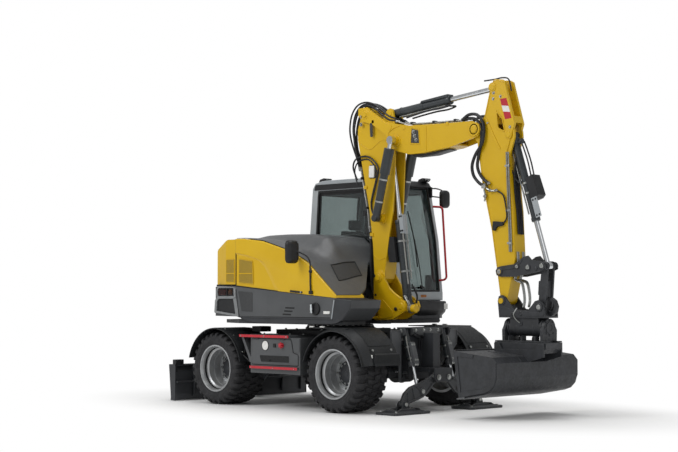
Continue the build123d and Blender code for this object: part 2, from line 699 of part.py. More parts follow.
lower_side = [(-30, 1570), (-45, 1638), (-71, 2028), (-132, 2471), (-263, 3049), (-334, 3372),
              (-335, 3500), (-262, 3710), (-220, 3765), (-150, 3770), (-100, 3730), (60, 3480),
              (300, 3330), (310, 3152), (274, 2456), (205, 2121), (153, 1811), (125, 1600), (80, 1548),
              (20, 1545)]
lift_room = [(400, 2050), (125, 2050), (70, 2300), (10, 3000), (10, 3345), (400, 3395)]
with BuildPart() as lower_boom:
    plate_y(lower_side, -boom_half, boom_half)
    inside = [(0, 1720), (-20, 2028), (-80, 2471), (-205, 3049), (-280, 3372), (-280, 3560), (-60, 3420),
              (-5, 3370), (-5, 3000), (50, 2300), (110, 1980), (80, 1720)]
    plate_y(inside, -boom_half + 20, boom_half - 20, Mode.SUBTRACT)
    plate_y(lift_room, -boom_half + 20, boom_half - 20, Mode.SUBTRACT)
    pin_y(foot_pin, 38 + running, -boom_half - 5, boom_half + 5, Mode.SUBTRACT)
    pin_y(knee_pin, 36, -plate_out - 20, plate_out + 20)
    pin_y(adjust_foot, 55, -adjust_y + 52, -boom_half)
    pin_y(adjust_foot, 55, boom_half, adjust_y - 52)
    pin_y(adjust_foot, 28, -adjust_y - 45, -boom_half)
    pin_y(adjust_foot, 28, boom_half, adjust_y + 45)
    for side in (-1, 1):
        pin_y(lift_eye, 60, side * boom_half, side * (boom_half + 9))
save(lower_boom, "lower_boom")

with BuildPart() as lift_barrel:
    ram_barrel(lift_foot, lift_eye, 1080, 55, 34, 32, 60)
save(lift_barrel, "lift_barrel")

with BuildPart() as lift_rod:
    ram_rod(lift_foot, lift_eye, 900, 34, 58, 55)
save(lift_rod, "lift_rod")

with BuildPart() as adjust_barrels:
    ram_barrel(adjust_foot, adjust_eye, 640, 50, 30, 28, 30, adjust_y)
    mirror(about=Plane.XZ)
save(adjust_barrels, "adjust_barrels")

with BuildPart() as adjust_rods:
    ram_rod(adjust_foot, adjust_eye, 120, 30, 50, 30, adjust_y)
    mirror(about=Plane.XZ)
save(adjust_rods, "adjust_rods")

# ---------------------------------------------------------------- upper boom

upper_side = [(-297, 3766), (-145, 3773), (-100, 3736), (171, 3567), (305, 3531), (574, 3485),
              (1082, 3470), (1586, 3460), (1690, 3420), (1715, 3350), (1677, 3275), (1600, 3255),
              (1240, 3174), (800, 3131), (567, 3130), (300, 3200), (167, 3420), (-60, 3560),
              (-160, 3590), (-240, 3610), (-300, 3680)]
with BuildPart() as upper_boom:
    plate_y(upper_side, plate_in, plate_out)
    top_skin = [(171, 3567), (305, 3531), (574, 3485), (1082, 3470), (1330, 3466), (1330, 3448),
                (1082, 3452), (570, 3467), (300, 3512), (165, 3547)]
    plate_y(top_skin, 0, plate_in)
    under_skin = [(1330, 3192), (1240, 3174), (800, 3131), (567, 3130), (440, 3164), (440, 3182),
                  (567, 3148), (800, 3149), (1240, 3192), (1330, 3210)]
    plate_y(under_skin, 0, plate_in)
    block((420, 438), (0, plate_in), (3172, 3480))
    pin_y(adjust_eye, 55, plate_out, adjust_y - 34)
    lug = [(80, 3600), (165, 3718), (210, 3732), (255, 3718), (300, 3520), (171, 3556)]
    plate_y(lug, 60, 85)
    pin_y(arm_ram_foot, 30, 0, 90)
    pin_y(nose_pin, 85, plate_out, plate_out + 12)
    mirror(about=Plane.XZ)
    pin_y(knee_pin, 36 + running, -plate_out - 30, plate_out + 30, Mode.SUBTRACT)
    pin_y(nose_pin, 40, -plate_out - 20, plate_out + 20)
save(upper_boom, "upper_boom")

with BuildPart() as arm_barrel:
    ram_barrel(arm_ram_foot, arm_ram_eye, 940, 52, 32, 30, 55)
save(arm_barrel, "arm_barrel")

with BuildPart() as arm_rod:
    ram_rod(arm_ram_foot, arm_ram_eye, 700, 32, 52, 45)
save(arm_rod, "arm_rod")

# ---------------------------------------------------------------- arm

arm_side = [(1745, 3497), (1853, 3878), (1890, 3912), (1950, 3925), (2010, 3918), (2049, 3894),
            (2194, 3390), (2089, 3095), (2173, 2371), (2199, 1838), (2070, 1320), (2045, 1290),
            (2000, 1285), (1970, 1310), (1974, 1400), (1917, 1761), (1851, 2160), (1710, 2731),
            (1640, 3200), (1560, 3300), (1545, 3370), (1590, 3435)]
with BuildPart() as arm:
    plate_y(arm_side, -arm_half, arm_half)
    # the head is two plates, open between for the arm's ram
    block((1500, 2250), (-60, 60), (3480, 4000), Mode.SUBTRACT)
    inside = [(1670, 3400), (1960, 3400), (2140, 3380), (2066, 3095), (2148, 2371), (2172, 1838),
              (2100, 1560), (1960, 1760), (1880, 2160), (1740, 2731), (1680, 3180)]
    plate_y(inside, -arm_half + 15, arm_half - 15, Mode.SUBTRACT)
    diamond = [(1930, 3560), (2020, 3450), (2050, 3300), (1950, 3360)]
    plate_y(diamond, -arm_half - 5, arm_half + 5, Mode.SUBTRACT)
    pin_y(nose_pin, 40 + running, -arm_half - 5, arm_half + 5, Mode.SUBTRACT)
    # the bucket ram stands on the front of the head
    lug = [(2150, 3400), (2130, 3310), (2085, 3080), (2110, 3000), (2190, 3230), (2185, 3300)]
    for y in (-85, 60):
        plate_y(lug, y, y + 25)
    block((2052, 2300), (-60, 60), (3090, 3400), Mode.SUBTRACT)
    pin_y(bucket_ram_foot, 28, -90, 90)
    pin_y(rocker_pin, 30, -130, 130)
    pin_y(tip_pin, 32, -150, 150)
save(arm, "arm")

with BuildPart() as bucket_barrel:
    ram_barrel(bucket_ram_foot, link_pin, 1060, 46, 30, 28, 55)
save(bucket_barrel, "bucket_barrel")

with BuildPart() as bucket_rod:
    ram_rod(bucket_ram_foot, link_pin, 780, 30, 46, 30)
save(bucket_rod, "bucket_rod")

rocker_side = [(1940, 1630), (1925, 1680), (1950, 1722), (2010, 1735), (2200, 1755), (2340, 1840),
               (2400, 1850), (2450, 1800), (2590, 1780), (2650, 1740), (2650, 1695), (2600, 1676),
               (2450, 1650), (2200, 1610), (2000, 1612)]
with BuildPart() as rocker:
    for side in (-1, 1):
        plate_y(rocker_side, *sorted((side * 101, side * 119)))
        pin_y(link_pin, 28, *sorted((side * 42, side * 125)))
    pin_y(rocker_pin, 30 + running, -125, 125, Mode.SUBTRACT)
    pin_y((2400, 1715), 24, -105, 105)
save(rocker, "rocker")

with BuildPart() as link:
    link_side = [(2560, 1740), (2580, 1775), (2620, 1775), (2645, 1740), (2610, 1270), (2590, 1230),
                 (2535, 1225), (2505, 1270)]
    for side in (-1, 1):
        plate_y(link_side, *sorted((side * 45, side * 70)))
    block((2545, 2605), (-45, 45), (1380, 1560))
    pin_y(link_pin, 28 + running, -75, 75, Mode.SUBTRACT)
save(link, "link")

with BuildPart() as coupler:
    # ears for the arm's tip and the link, on the tilting head
    ear = [(1960, 1330), (1975, 1385), (2020, 1400), (2065, 1380), (2180, 1240), (2400, 1220),
           (2500, 1330), (2556, 1345), (2620, 1300), (2640, 1180), (2640, 1140), (1980, 1140)]
    for side in (-1, 1):
        plate_y(ear, *sorted((side * 101, side * 125)))
    pin_y(tip_pin, 32 + running, -130, 130, Mode.SUBTRACT)
    block((1980, 2640), (-125, 125), (1140, 1162))
    bar((2076, 0, tilt_z), (2570, 0, tilt_z), 100)
    block((2120, 2530), (-100, 100), (tilt_z, 1140))
save(coupler, "coupler")

with BuildPart() as tilt_hitch:
    flange = [(-80, 1085), (80, 1085), (135, 1000), (130, 860), (-130, 860), (-135, 1000)]
    plate_x(flange, 2030, 2070)
    plate_x(flange, 2576, 2616)
    bar((2030, 0, tilt_z), (2070, 0, tilt_z), 105)
    bar((2576, 0, tilt_z), (2616, 0, tilt_z), 105)
    body = [(1930, 860), (2680, 860), (2670, 790), (2600, 735), (2400, 725), (1990, 768), (1940, 790)]
    plate_y(body, -150, 150)
save(tilt_hitch, "tilt_hitch")

bucket_out = [(1815, 765), (2390, 705), (2450, 640), (2450, 470), (2420, 390), (2360, 330), (2270, 300),
              (1895, 233)]
bucket_in = [(1800, 752), (2384, 691), (2436, 634), (2436, 472), (2408, 398), (2352, 343), (2266, 314),
             (1890, 246)]
with BuildPart() as bucket:
    plate_y(bucket_out, -bucket_half, bucket_half)
    plate_y(bucket_in, -bucket_half + 14, bucket_half - 14, Mode.SUBTRACT)
    mouth = [(1700, 900), (1815, 765), (1860, 500), (1895, 233), (1700, 100)]
    plate_y(mouth, -bucket_half - 5, bucket_half + 5, Mode.SUBTRACT)
    # ears that the hitch grips
    for side in (-1, 1):
        plate_y([(1945, 740), (1945, 850), (2020, 850), (2060, 780), (2540, 780), (2590, 850),
                 (2660, 850), (2660, 700), (2440, 640)], *sorted((side * 152, side * 176)))
save(bucket, "bucket")
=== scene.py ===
import json
import math

import bmesh
import bpy
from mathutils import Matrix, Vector


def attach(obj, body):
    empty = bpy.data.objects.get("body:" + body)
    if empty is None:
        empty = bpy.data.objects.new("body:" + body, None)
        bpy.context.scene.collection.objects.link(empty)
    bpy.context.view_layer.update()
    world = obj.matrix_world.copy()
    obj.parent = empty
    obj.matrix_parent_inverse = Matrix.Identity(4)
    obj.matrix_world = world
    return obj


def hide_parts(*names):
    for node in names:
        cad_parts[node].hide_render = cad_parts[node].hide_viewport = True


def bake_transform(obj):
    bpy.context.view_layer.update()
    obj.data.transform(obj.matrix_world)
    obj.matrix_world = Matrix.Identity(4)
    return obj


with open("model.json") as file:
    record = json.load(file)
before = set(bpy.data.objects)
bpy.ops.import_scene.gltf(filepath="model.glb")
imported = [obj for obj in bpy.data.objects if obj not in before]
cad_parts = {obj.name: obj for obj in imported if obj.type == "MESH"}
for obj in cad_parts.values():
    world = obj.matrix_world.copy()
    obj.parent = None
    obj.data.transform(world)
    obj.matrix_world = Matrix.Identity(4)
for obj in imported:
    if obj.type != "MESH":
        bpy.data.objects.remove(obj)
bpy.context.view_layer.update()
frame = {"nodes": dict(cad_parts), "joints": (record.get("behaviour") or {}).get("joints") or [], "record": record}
nodes = frame["nodes"]
scene = bpy.context.scene
scene.view_settings.view_transform = "Standard"
mm = 0.001  # every size below is in millimetres

# ---- camera

cameraLook = {"at": (13.381, -14.069, 1.412), "turn": (92.53, 0, 45.09), "lens": 81.71}
camera = bpy.data.objects.new("camera", bpy.data.cameras.new("camera"))
camera.data.lens = cameraLook["lens"]
camera.data.clip_end = 200
camera.location = cameraLook["at"]
camera.rotation_euler = [math.radians(a) for a in cameraLook["turn"]]
scene.collection.objects.link(camera)
scene.camera = camera


# ---- materials

def linear(text):  # sRGB hex to linear
    parts = [int(text[i:i + 2], 16) / 255 for i in (1, 3, 5)]
    return [p / 12.92 if p <= 0.04045 else ((p + 0.055) / 1.055) ** 2.4 for p in parts] + [1.0]


def addNode(tree, kind, inputs=None, **settings):
    node = tree.nodes.new(kind)
    for key, value in settings.items():
        setattr(node, key, value)
    for key, value in (inputs or {}).items():
        if isinstance(value, bpy.types.NodeSocket):
            tree.links.new(value, node.inputs[key])
        else:
            node.inputs[key].default_value = linear(value) if isinstance(value, str) else value
    return node


def startMaterial(name, **shaderInputs):
    material = bpy.data.materials.new(name)
    material.use_nodes = True
    tree = material.node_tree
    shader = tree.nodes["Principled BSDF"]
    for key, value in shaderInputs.items():
        shader.inputs[key.replace("_", " ")].default_value = value
    place = addNode(tree, "ShaderNodeTexCoord").outputs["Object"]
    return material, tree, shader, place


def ramp(tree, value, kind="LINEAR", **ends):
    inputs = {key.replace("_", " "): end for key, end in ends.items()}
    return addNode(tree, "ShaderNodeMapRange", {"Value": value, **inputs}, interpolation_type=kind).outputs["Result"]


def noise(tree, place, size, detail):  # size in mm
    inputs = {"Vector": place, "Scale": 1 / (size * mm), "Detail": detail}
    return addNode(tree, "ShaderNodeTexNoise", inputs).outputs["Fac"]


def patch(tree, place, size, low, high, detail=3.0, stretch=None):
    # a soft mask of cloudy patches, size in mm, 0 below low and 1 above high
    if stretch:
        place = addNode(tree, "ShaderNodeMapping", {"Vector": place, "Scale": stretch}).outputs["Vector"]
    return ramp(tree, noise(tree, place, size, detail), "SMOOTHSTEP", From_Min=low, From_Max=high)


def blendColour(tree, mask, first, second):
    return addNode(tree, "ShaderNodeMix", {"Factor": mask, 6: first, 7: second}, data_type="RGBA").outputs[2]


def sums(tree, operation, *values, clamp=False):
    return addNode(tree, "ShaderNodeMath", dict(enumerate(values)), operation=operation, use_clamp=clamp).outputs[0]


def surfaceNormal(tree):
    return addNode(tree, "ShaderNodeNewGeometry").outputs["Normal"]


def roundEdges(tree, radius):
    # the sheet's folded edges have a small radius: returns the rounded normal and a mask of those edges
    soft = addNode(tree, "ShaderNodeBevel", {"Radius": radius * mm}, samples=4).outputs["Normal"]
    same = addNode(tree, "ShaderNodeVectorMath", {0: soft, 1: surfaceNormal(tree)}, operation="DOT_PRODUCT")
    return soft, sums(tree, "SUBTRACT", 1.0, same.outputs["Value"], clamp=True)


def lightenEdges(tree, place, shade, edges, look, size, low, high, detail):
    # edges turn to the edge colour in patches: worn paint on the enamels and bare metal on the castings, and on the
    # enamels partly a painted highlight where the folds catch light
    edgeShare = sums(tree, "MULTIPLY", sums(tree, "MULTIPLY", edges, look["edgeShare"]),
               patch(tree, place, size, low, high, detail), clamp=True)
    return blendColour(tree, edgeShare, shade, look["edgeColour"])


def dress(tree, shader, shade, height, depth, normal=None, rough=None, distance=0.001):
    # links the colour, the roughness and the fine relief to the shader; distance in m
    tree.links.new(shade, shader.inputs["Base Color"])
    if rough is not None:
        tree.links.new(rough, shader.inputs["Roughness"])
    relief = {"Height": height, "Strength": depth, "Distance": distance}
    if normal is not None:
        relief["Normal"] = normal
    tree.links.new(addNode(tree, "ShaderNodeBump", relief).outputs["Normal"], shader.inputs["Normal"])


def showShader(tree, share, first, second):
    mix = addNode(tree, "ShaderNodeMixShader", {0: share, 1: first.outputs[0], 2: second.outputs[0]})
    tree.links.new(mix.outputs[0], tree.nodes["Material Output"].inputs["Surface"])


def paintFinish(name, look):
    material, tree, shader, place = startMaterial(name, Coat_Weight=look["coat"], Coat_Roughness=0.12,
                                                  Specular_IOR_Level=0.38, Metallic=look.get("metal", 0.0))
    soft, edges = roundEdges(tree, look["edge"])
    shade = blendColour(tree, patch(tree, place, look["cloud"], 0.35, 0.7), look["base"], look["faded"])
    # road dust lies in patches on what faces up
    upward = addNode(tree, "ShaderNodeSeparateXYZ", {"Vector": surfaceNormal(tree)}).outputs["Z"]
    dusty = sums(tree, "MULTIPLY", sums(tree, "MULTIPLY", upward, look["dust"], clamp=True),
                 patch(tree, place, 45, 0.3, 0.75, 5.0))
    shade = blendColour(tree, dusty, shade, look["dustColour"])
    # the edges are lightened: partly wear, partly a painted highlight along the folds
    shade = lightenEdges(tree, place, shade, edges, look, 18, 0.4, 0.6, 4.0)
    rough = ramp(tree, patch(tree, place, 60, 0.25, 0.8, 5.0), To_Min=look["rough"] - 0.05,
                 To_Max=look["rough"] + 0.06)
    dress(tree, shader, shade, noise(tree, place, look["peel"], 2.0), look["peelDepth"], soft, rough)
    return material


# Two-pack polyurethane enamel, sprayed over primed steel panels. The peel is really 1 mm across; it is
# drawn at 5 mm so that it shows. It gives a clean gloss with a soft sparkle along the folds, partly painted
# highlight.
paintLooks = {
    "yellowEnamel": {"base": "#D2A908", "faded": "#D6AE10", "edgeColour": "#E2C440", "dustColour": "#C4A850", "dust": 0.12,
                     "cloud": 420, "edge": 4, "edgeShare": 1.2, "rough": 0.38, "coat": 0.08, "peel": 5, "peelDepth": 0.08},
    "anthraciteEnamel": {"base": "#4B4D4F", "faded": "#525456", "edgeColour": "#8A8C8E", "dustColour": "#7A7874",
                         "dust": 0.12, "cloud": 380, "edge": 4, "edgeShare": 1.2, "rough": 0.42, "coat": 0.1, "peel": 4,
                         "peelDepth": 0.15},
    "legEnamel": {"base": "#3C3E41", "faded": "#45474A", "edgeColour": "#7A7C7E", "dustColour": "#7C7870", "dust": 0.35,
                  "cloud": 160, "edge": 5, "edgeShare": 1.6, "rough": 0.5, "coat": 0.05, "peel": 4, "peelDepth": 0.3},
    "guardEnamel": {"base": "#505255", "faded": "#5A5C5F", "edgeColour": "#8E9092", "dustColour": "#86827A", "dust": 0.3,
                    "cloud": 180, "edge": 4, "edgeShare": 1.5, "rough": 0.42, "coat": 0.08, "peel": 4, "peelDepth": 0.2},
    "chassisEnamel": {"base": "#2D2F32", "faded": "#34363A", "edgeColour": "#6E7072", "dustColour": "#6A665F", "dust": 0.2,
                      "cloud": 250, "edge": 4, "edgeShare": 1.4, "rough": 0.48, "coat": 0.05, "peel": 4, "peelDepth": 0.25},
    "pillarEnamel": {"base": "#9DA3A7", "faded": "#A7ACAF", "edgeColour": "#C2C6C8", "dustColour": "#B5B2AB", "dust": 0.2,
                     "cloud": 300, "edge": 3, "edgeShare": 0.8, "rough": 0.36, "coat": 0.2, "peel": 4, "peelDepth": 0.1},
    "ramEnamel": {"base": "#2E3336", "faded": "#353A3D", "edgeColour": "#5A5F62", "dustColour": "#5C5A56", "dust": 0.2,
                  "cloud": 160, "edge": 2, "edgeShare": 1.0, "rough": 0.38, "coat": 0.15, "peel": 4, "peelDepth": 0.12},
    "redEnamel": {"base": "#B5182A", "faded": "#BE2230", "edgeColour": "#D65A5A", "dustColour": "#B07068", "dust": 0.15,
                  "cloud": 200, "edge": 2, "edgeShare": 0.8, "rough": 0.35, "coat": 0.2, "peel": 3, "peelDepth": 0.08},
    # wheel enamel with aluminium flake
    "wheelSilver": {"metal": 0.55, "base": "#A6A8AA", "faded": "#B0B2B3", "edgeColour": "#C9CACB", "dustColour": "#8E8A82",
                    "dust": 0.35, "cloud": 120, "edge": 3, "edgeShare": 1.0, "rough": 0.36, "coat": 0.1, "peel": 3,
                    "peelDepth": 0.12},
}
finishes = {name: paintFinish(name, look) for name, look in paintLooks.items()}


def castFinish(name, look):
    # nodular iron with sprayed primer: sand-mould grain shows through as a fine pebbling, edges rub to bare metal
    material, tree, shader, place = startMaterial(name)
    soft, edges = roundEdges(tree, look["edge"])
    shade = blendColour(tree, patch(tree, place, 90, 0.35, 0.65, 5.0), look["base"], look["faded"])
    shade = lightenEdges(tree, place, shade, edges, look, 25, 0.38, 0.6, 5.0)
    rough = ramp(tree, patch(tree, place, 30, 0.3, 0.7, 5.0), To_Min=look["rough"] - 0.1, To_Max=look["rough"] + 0.08)
    dress(tree, shader, shade, noise(tree, place, look["grain"], 4.0), look["depth"], soft, rough)
    return material


castLooks = {
    "primedCasting": {"base": "#26282B", "faded": "#2E3034", "edgeColour": "#77797C", "edge": 5, "edgeShare": 1.6, "rough": 0.5,
                      "grain": 7, "depth": 0.5},
    "engineCasting": {"base": "#4A4C4D", "faded": "#565858", "edgeColour": "#7E8080", "edge": 5, "edgeShare": 1.0, "rough": 0.55,
                      "grain": 8, "depth": 0.6},
    "paleCasting": {"base": "#7B7E80", "faded": "#868889", "edgeColour": "#C4C5C5", "edge": 5, "edgeShare": 1.2, "rough": 0.4,
                    "grain": 6, "depth": 0.3},
}
finishes.update({name: castFinish(name, look) for name, look in castLooks.items()})


def rubberFinish(name, look):
    # carbon-black filled rubber, press moulded: matt, bluish black, greyer where it flexes and scuffs
    material, tree, shader, place = startMaterial(name, Specular_IOR_Level=0.35)
    soft, edges = roundEdges(tree, look["edge"])
    shade = blendColour(tree, patch(tree, place, look["cloud"], 0.35, 0.7, 5.0), look["base"], look["faded"])
    shade = blendColour(tree, sums(tree, "MULTIPLY", edges, look["edgeShare"], clamp=True), shade, look["edgeColour"])
    rough = ramp(tree, patch(tree, place, 25, 0.3, 0.7, 4.0), To_Min=look["rough"] - 0.08,
                 To_Max=look["rough"] + 0.08)
    dress(tree, shader, shade, noise(tree, place, look["grain"], 3.0), look["depth"], soft, rough)
    return material


rubberLooks = {
    "tyreRubber": {"base": "#262628", "faded": "#303032", "edgeColour": "#454546", "cloud": 70, "edge": 4, "edgeShare": 0.8,
                   "rough": 0.7, "grain": 4, "depth": 0.4},
    "hoseRubber": {"base": "#1E1F22", "faded": "#2A2B2E", "edgeColour": "#3E3F42", "cloud": 40, "edge": 1, "edgeShare": 0.5,
                   "rough": 0.42, "grain": 3, "depth": 0.2},
    "sealRubber": {"base": "#151617", "faded": "#1C1D1E", "edgeColour": "#2C2D2E", "cloud": 60, "edge": 1, "edgeShare": 0.5,
                   "rough": 0.55, "grain": 3, "depth": 0.2},
    # injection-moulded polypropylene with a spark-eroded grain, as mudguards and mirror housings have
    "guardPlastic": {"base": "#1D1F21", "faded": "#252729", "edgeColour": "#505153", "cloud": 200, "edge": 3, "edgeShare": 0.7,
                     "rough": 0.52, "grain": 2.5, "depth": 0.3},
    "trimPlastic": {"base": "#1D1E20", "faded": "#242527", "edgeColour": "#3A3B3D", "cloud": 120, "edge": 2, "edgeShare": 0.6,
                    "rough": 0.45, "grain": 2.5, "depth": 0.25},
    # opal polycarbonate over the small marker lamps: milky white with a soft shine
    "whiteLens": {"base": "#E9E9E6", "faded": "#DFDFDB", "edgeColour": "#F4F4F2", "cloud": 60, "edge": 2, "edgeShare": 0.4,
                  "rough": 0.25, "grain": 6, "depth": 0.05},
    "cabPlastic": {"base": "#4B4D50", "faded": "#525457", "edgeColour": "#626467", "cloud": 160, "edge": 3, "edgeShare": 0.4,
                   "rough": 0.6, "grain": 2.5, "depth": 0.3},
}
finishes.update({name: rubberFinish(name, look) for name, look in rubberLooks.items()})


def metalFinish(name, look):
    # bare metal: the tool marks run one way and stretch the highlights across them
    material, tree, shader, place = startMaterial(name, Metallic=1.0)
    soft, _ = roundEdges(tree, look["edge"])
    shade = blendColour(tree, patch(tree, place, look["cloud"], 0.3, 0.7, 4.0), look["base"], look["faded"])
    marks = patch(tree, place, look["mark"], 0.25, 0.75, 4.0, look["along"])
    rough = ramp(tree, marks, To_Min=look["rough"] * 0.7, To_Max=look["rough"] * 1.4)
    dress(tree, shader, shade, marks, look["depth"], soft, rough, 0.0005)
    return material


metalLooks = {
    # hard chrome, ground round the rod: near mirror with faint rings
    "hardChrome": {"base": "#D6D8DA", "faded": "#C8CBCE", "cloud": 60, "edge": 1, "mark": 3, "along": (1, 1, 6),
                   "rough": 0.12, "depth": 0.05},
    # zinc-plated steel, as pipe, bolts and hose ends have: dull silver with cloudy passivation
    "zincPlate": {"base": "#B4B6B5", "faded": "#9C9E9A", "cloud": 18, "edge": 1, "mark": 4, "along": (1, 1, 1),
                  "rough": 0.34, "depth": 0.15},
    # aluminium reflector behind a lens
    "lampReflector": {"base": "#E4E6E8", "faded": "#D2D5D8", "cloud": 20, "edge": 1, "mark": 6, "along": (1, 1, 1),
                      "rough": 0.16, "depth": 0.1},
    # first-surface silvered glass
    "mirrorSilver": {"base": "#E8EAEC", "faded": "#E0E3E6", "cloud": 90, "edge": 1, "mark": 30, "along": (1, 1, 1),
                     "rough": 0.04, "depth": 0.02},
    # cutting edge of hardened plate, polished by earth
    "wornSteel": {"base": "#7C7E80", "faded": "#66686A", "cloud": 40, "edge": 2, "mark": 5, "along": (1, 0.2, 1),
                  "rough": 0.38, "depth": 0.4},
}
finishes.update({name: metalFinish(name, look) for name, look in metalLooks.items()})


def glassFinish(name, look):
    # tempered safety glass: clear with a slight tint, and lamps shine through it
    material, tree, shader, place = startMaterial(name, Transmission_Weight=1.0, IOR=look["ior"])
    tint = blendColour(tree, patch(tree, place, 500, 0.3, 0.7), look["base"], look["faded"])
    tree.links.new(tint, shader.inputs["Base Color"])
    film = patch(tree, place, 35, 0.35, 0.8, 5.0)  # wiper film and dust haze
    tree.links.new(ramp(tree, film, To_Min=look["rough"], To_Max=look["rough"] + 0.03), shader.inputs["Roughness"])
    through = addNode(tree, "ShaderNodeBsdfTransparent", {"Color": look["base"]})
    showShader(tree, addNode(tree, "ShaderNodeLightPath").outputs["Is Shadow Ray"], shader, through)
    return material


glassLooks = {
    "cabGlass": {"base": "#A3ACAB", "faded": "#9CA6A5", "ior": 1.45, "rough": 0.0},
    "lampGlass": {"base": "#F2F4F4", "faded": "#E8ECEC", "ior": 1.5, "rough": 0.02},
    "redLens": {"base": "#C81A1A", "faded": "#B81414", "ior": 1.49, "rough": 0.05},
    "amberLens": {"base": "#E8861C", "faded": "#DC7A14", "ior": 1.49, "rough": 0.05},
}
finishes.update({name: glassFinish(name, look) for name, look in glassLooks.items()})


def clothFinish(name, look):
    # woven polyester seat cloth, threads 3 mm apart (really 1 mm; drawn wider so that the weave shows)
    material, tree, shader, place = startMaterial(name, Sheen_Weight=0.3, Sheen_Roughness=0.5, Roughness=0.85)
    wave = {"Vector": place, "Scale": 1 / (look["thread"] * mm * 20), "Distortion": 0.6, "Detail": 1.0,
            "Detail Scale": 2.0}
    x, y, z = [addNode(tree, "ShaderNodeTexWave", wave, bands_direction=way).outputs["Fac"] for way in "XYZ"]
    weave = sums(tree, "MAXIMUM", sums(tree, "MAXIMUM", x, y), z)
    shade = blendColour(tree, weave, look["base"], look["thread2"])
    shade = blendColour(tree, sums(tree, "MULTIPLY", patch(tree, place, 80, 0.4, 0.75, 4.0), 0.5), shade,
                        look["faded"])
    dress(tree, shader, shade, weave, 0.35)
    return material


clothLooks = {"seatCloth": {"base": "#26272A", "thread2": "#34363A", "faded": "#3C3E42", "thread": 3}}
finishes.update({name: clothFinish(name, look) for name, look in clothLooks.items()})

slotFinish = {
    "yellow_paint": "yellowEnamel", "grey_paint": "anthraciteEnamel", "dark_paint": "chassisEnamel",
    "cast_grey": "primedCasting", "pillar_grey": "pillarEnamel", "black_plastic": "guardPlastic",
    "rim_silver": "wheelSilver", "tyre": "tyreRubber", "ram_black": "ramEnamel", "chrome_rod": "hardChrome",
    "glass": "cabGlass", "seat_fabric": "seatCloth", "red_paint": "redEnamel", "engine_grey": "engineCasting",
}
for part in frame["record"]["subparts"]:
    thing, finish = nodes[part["node"]], finishes[slotFinish[part["material_slot"]]]
    if not thing.material_slots:
        thing.data.materials.append(finish)
    for holder in thing.material_slots:
        holder.material = finish
print("materials set on", len(nodes), "nodes")

# ---- studio: pale floor, soft lamps, white backdrop

studioLook = {"floorSize": 40, "floorColour": "#F4F4F4", "floorPatches": "#F1F1F0", "clearFrom": 1.55, "clearTo": 2.9,
              "world": 0.46}


def makeFloor(look):
    half = look["floorSize"] / 2
    data = bpy.data.meshes.new("floor")
    data.from_pydata([(-half, -half, 0), (half, -half, 0), (half, half, 0), (-half, half, 0)], [], [(0, 1, 2, 3)])
    floor = bpy.data.objects.new("floor", data)
    floor.location.z = -0.0005
    scene.collection.objects.link(floor)
    material, tree, shader, place = startMaterial("paintedFloor", Roughness=0.7, Specular_IOR_Level=0.2)
    tree.links.new(blendColour(tree, patch(tree, place, 900, 0.3, 0.7), look["floorColour"], look["floorPatches"]),
                   shader.inputs["Base Color"])
    # away from the machine the floor runs out into the white backdrop
    flat = addNode(tree, "ShaderNodeVectorMath", {0: place, 1: (0.55, 1, 0)}, operation="MULTIPLY").outputs["Vector"]
    away = addNode(tree, "ShaderNodeVectorMath", {0: flat}, operation="LENGTH").outputs["Value"]
    away = ramp(tree, away, "SMOOTHSTEP", From_Min=look["clearFrom"], From_Max=look["clearTo"])
    ray = addNode(tree, "ShaderNodeLightPath")
    seen = sums(tree, "ADD", sums(tree, "ADD", ray.outputs["Is Camera Ray"], ray.outputs["Is Glossy Ray"]),
                ray.outputs["Is Transmission Ray"], clamp=True)
    glow = addNode(tree, "ShaderNodeEmission", {"Color": (1, 1, 1, 1), "Strength": 1.0})
    showShader(tree, sums(tree, "MULTIPLY", away, seen), shader, glow)
    data.materials.append(material)


makeFloor(studioLook)

world = bpy.data.worlds.new("studio")
world.use_nodes = True
scene.world = world
sky = world.node_tree
back = sky.nodes["Background"]
ray = addNode(sky, "ShaderNodeLightPath")
seen = sums(sky, "ADD", ray.outputs["Is Camera Ray"], ray.outputs["Is Transmission Ray"], clamp=True)
sky.links.new(ramp(sky, seen, To_Min=studioLook["world"], To_Max=1.0), back.inputs["Strength"])
back.inputs["Color"].default_value = (1, 1, 1, 1)

# lamp: where it stands, what it looks at, its side in m, its power in W
lamps = {
    "keyLamp": {"at": (-3.0, -9.5, 8.5), "to": (-0.5, 0, 1.2), "size": 5.0, "power": 500},
    "topLamp": {"at": (0.5, 0.5, 9.5), "to": (0, 0, 1.5), "size": 6.0, "power": 330},
    "fillLamp": {"at": (10.0, -3.5, 4.5), "to": (0, 0, 1.6), "size": 5.0, "power": 80},
}
for name, look in lamps.items():
    lamp = bpy.data.lights.new(name, "AREA")
    lamp.size = look["size"]
    lamp.energy = look["power"]
    stand = bpy.data.objects.new(name, lamp)
    stand.location = look["at"]
    stand.rotation_euler = (Vector(look["to"]) - Vector(look["at"])).to_track_quat("-Z", "Y").to_euler()
    scene.collection.objects.link(stand)
print("studio set")

# ---- mesh helpers: every place is in millimetres, measured on the ground from the boom's swing axis

# the add functions build on this one mesh; makePiece turns what is on it into an object and clears it
mesh = bmesh.new()

joints = {j["name"]: j for j in frame["joints"]}
swingAxis = joints["boom_swing"]["pos_m"][0] / mm


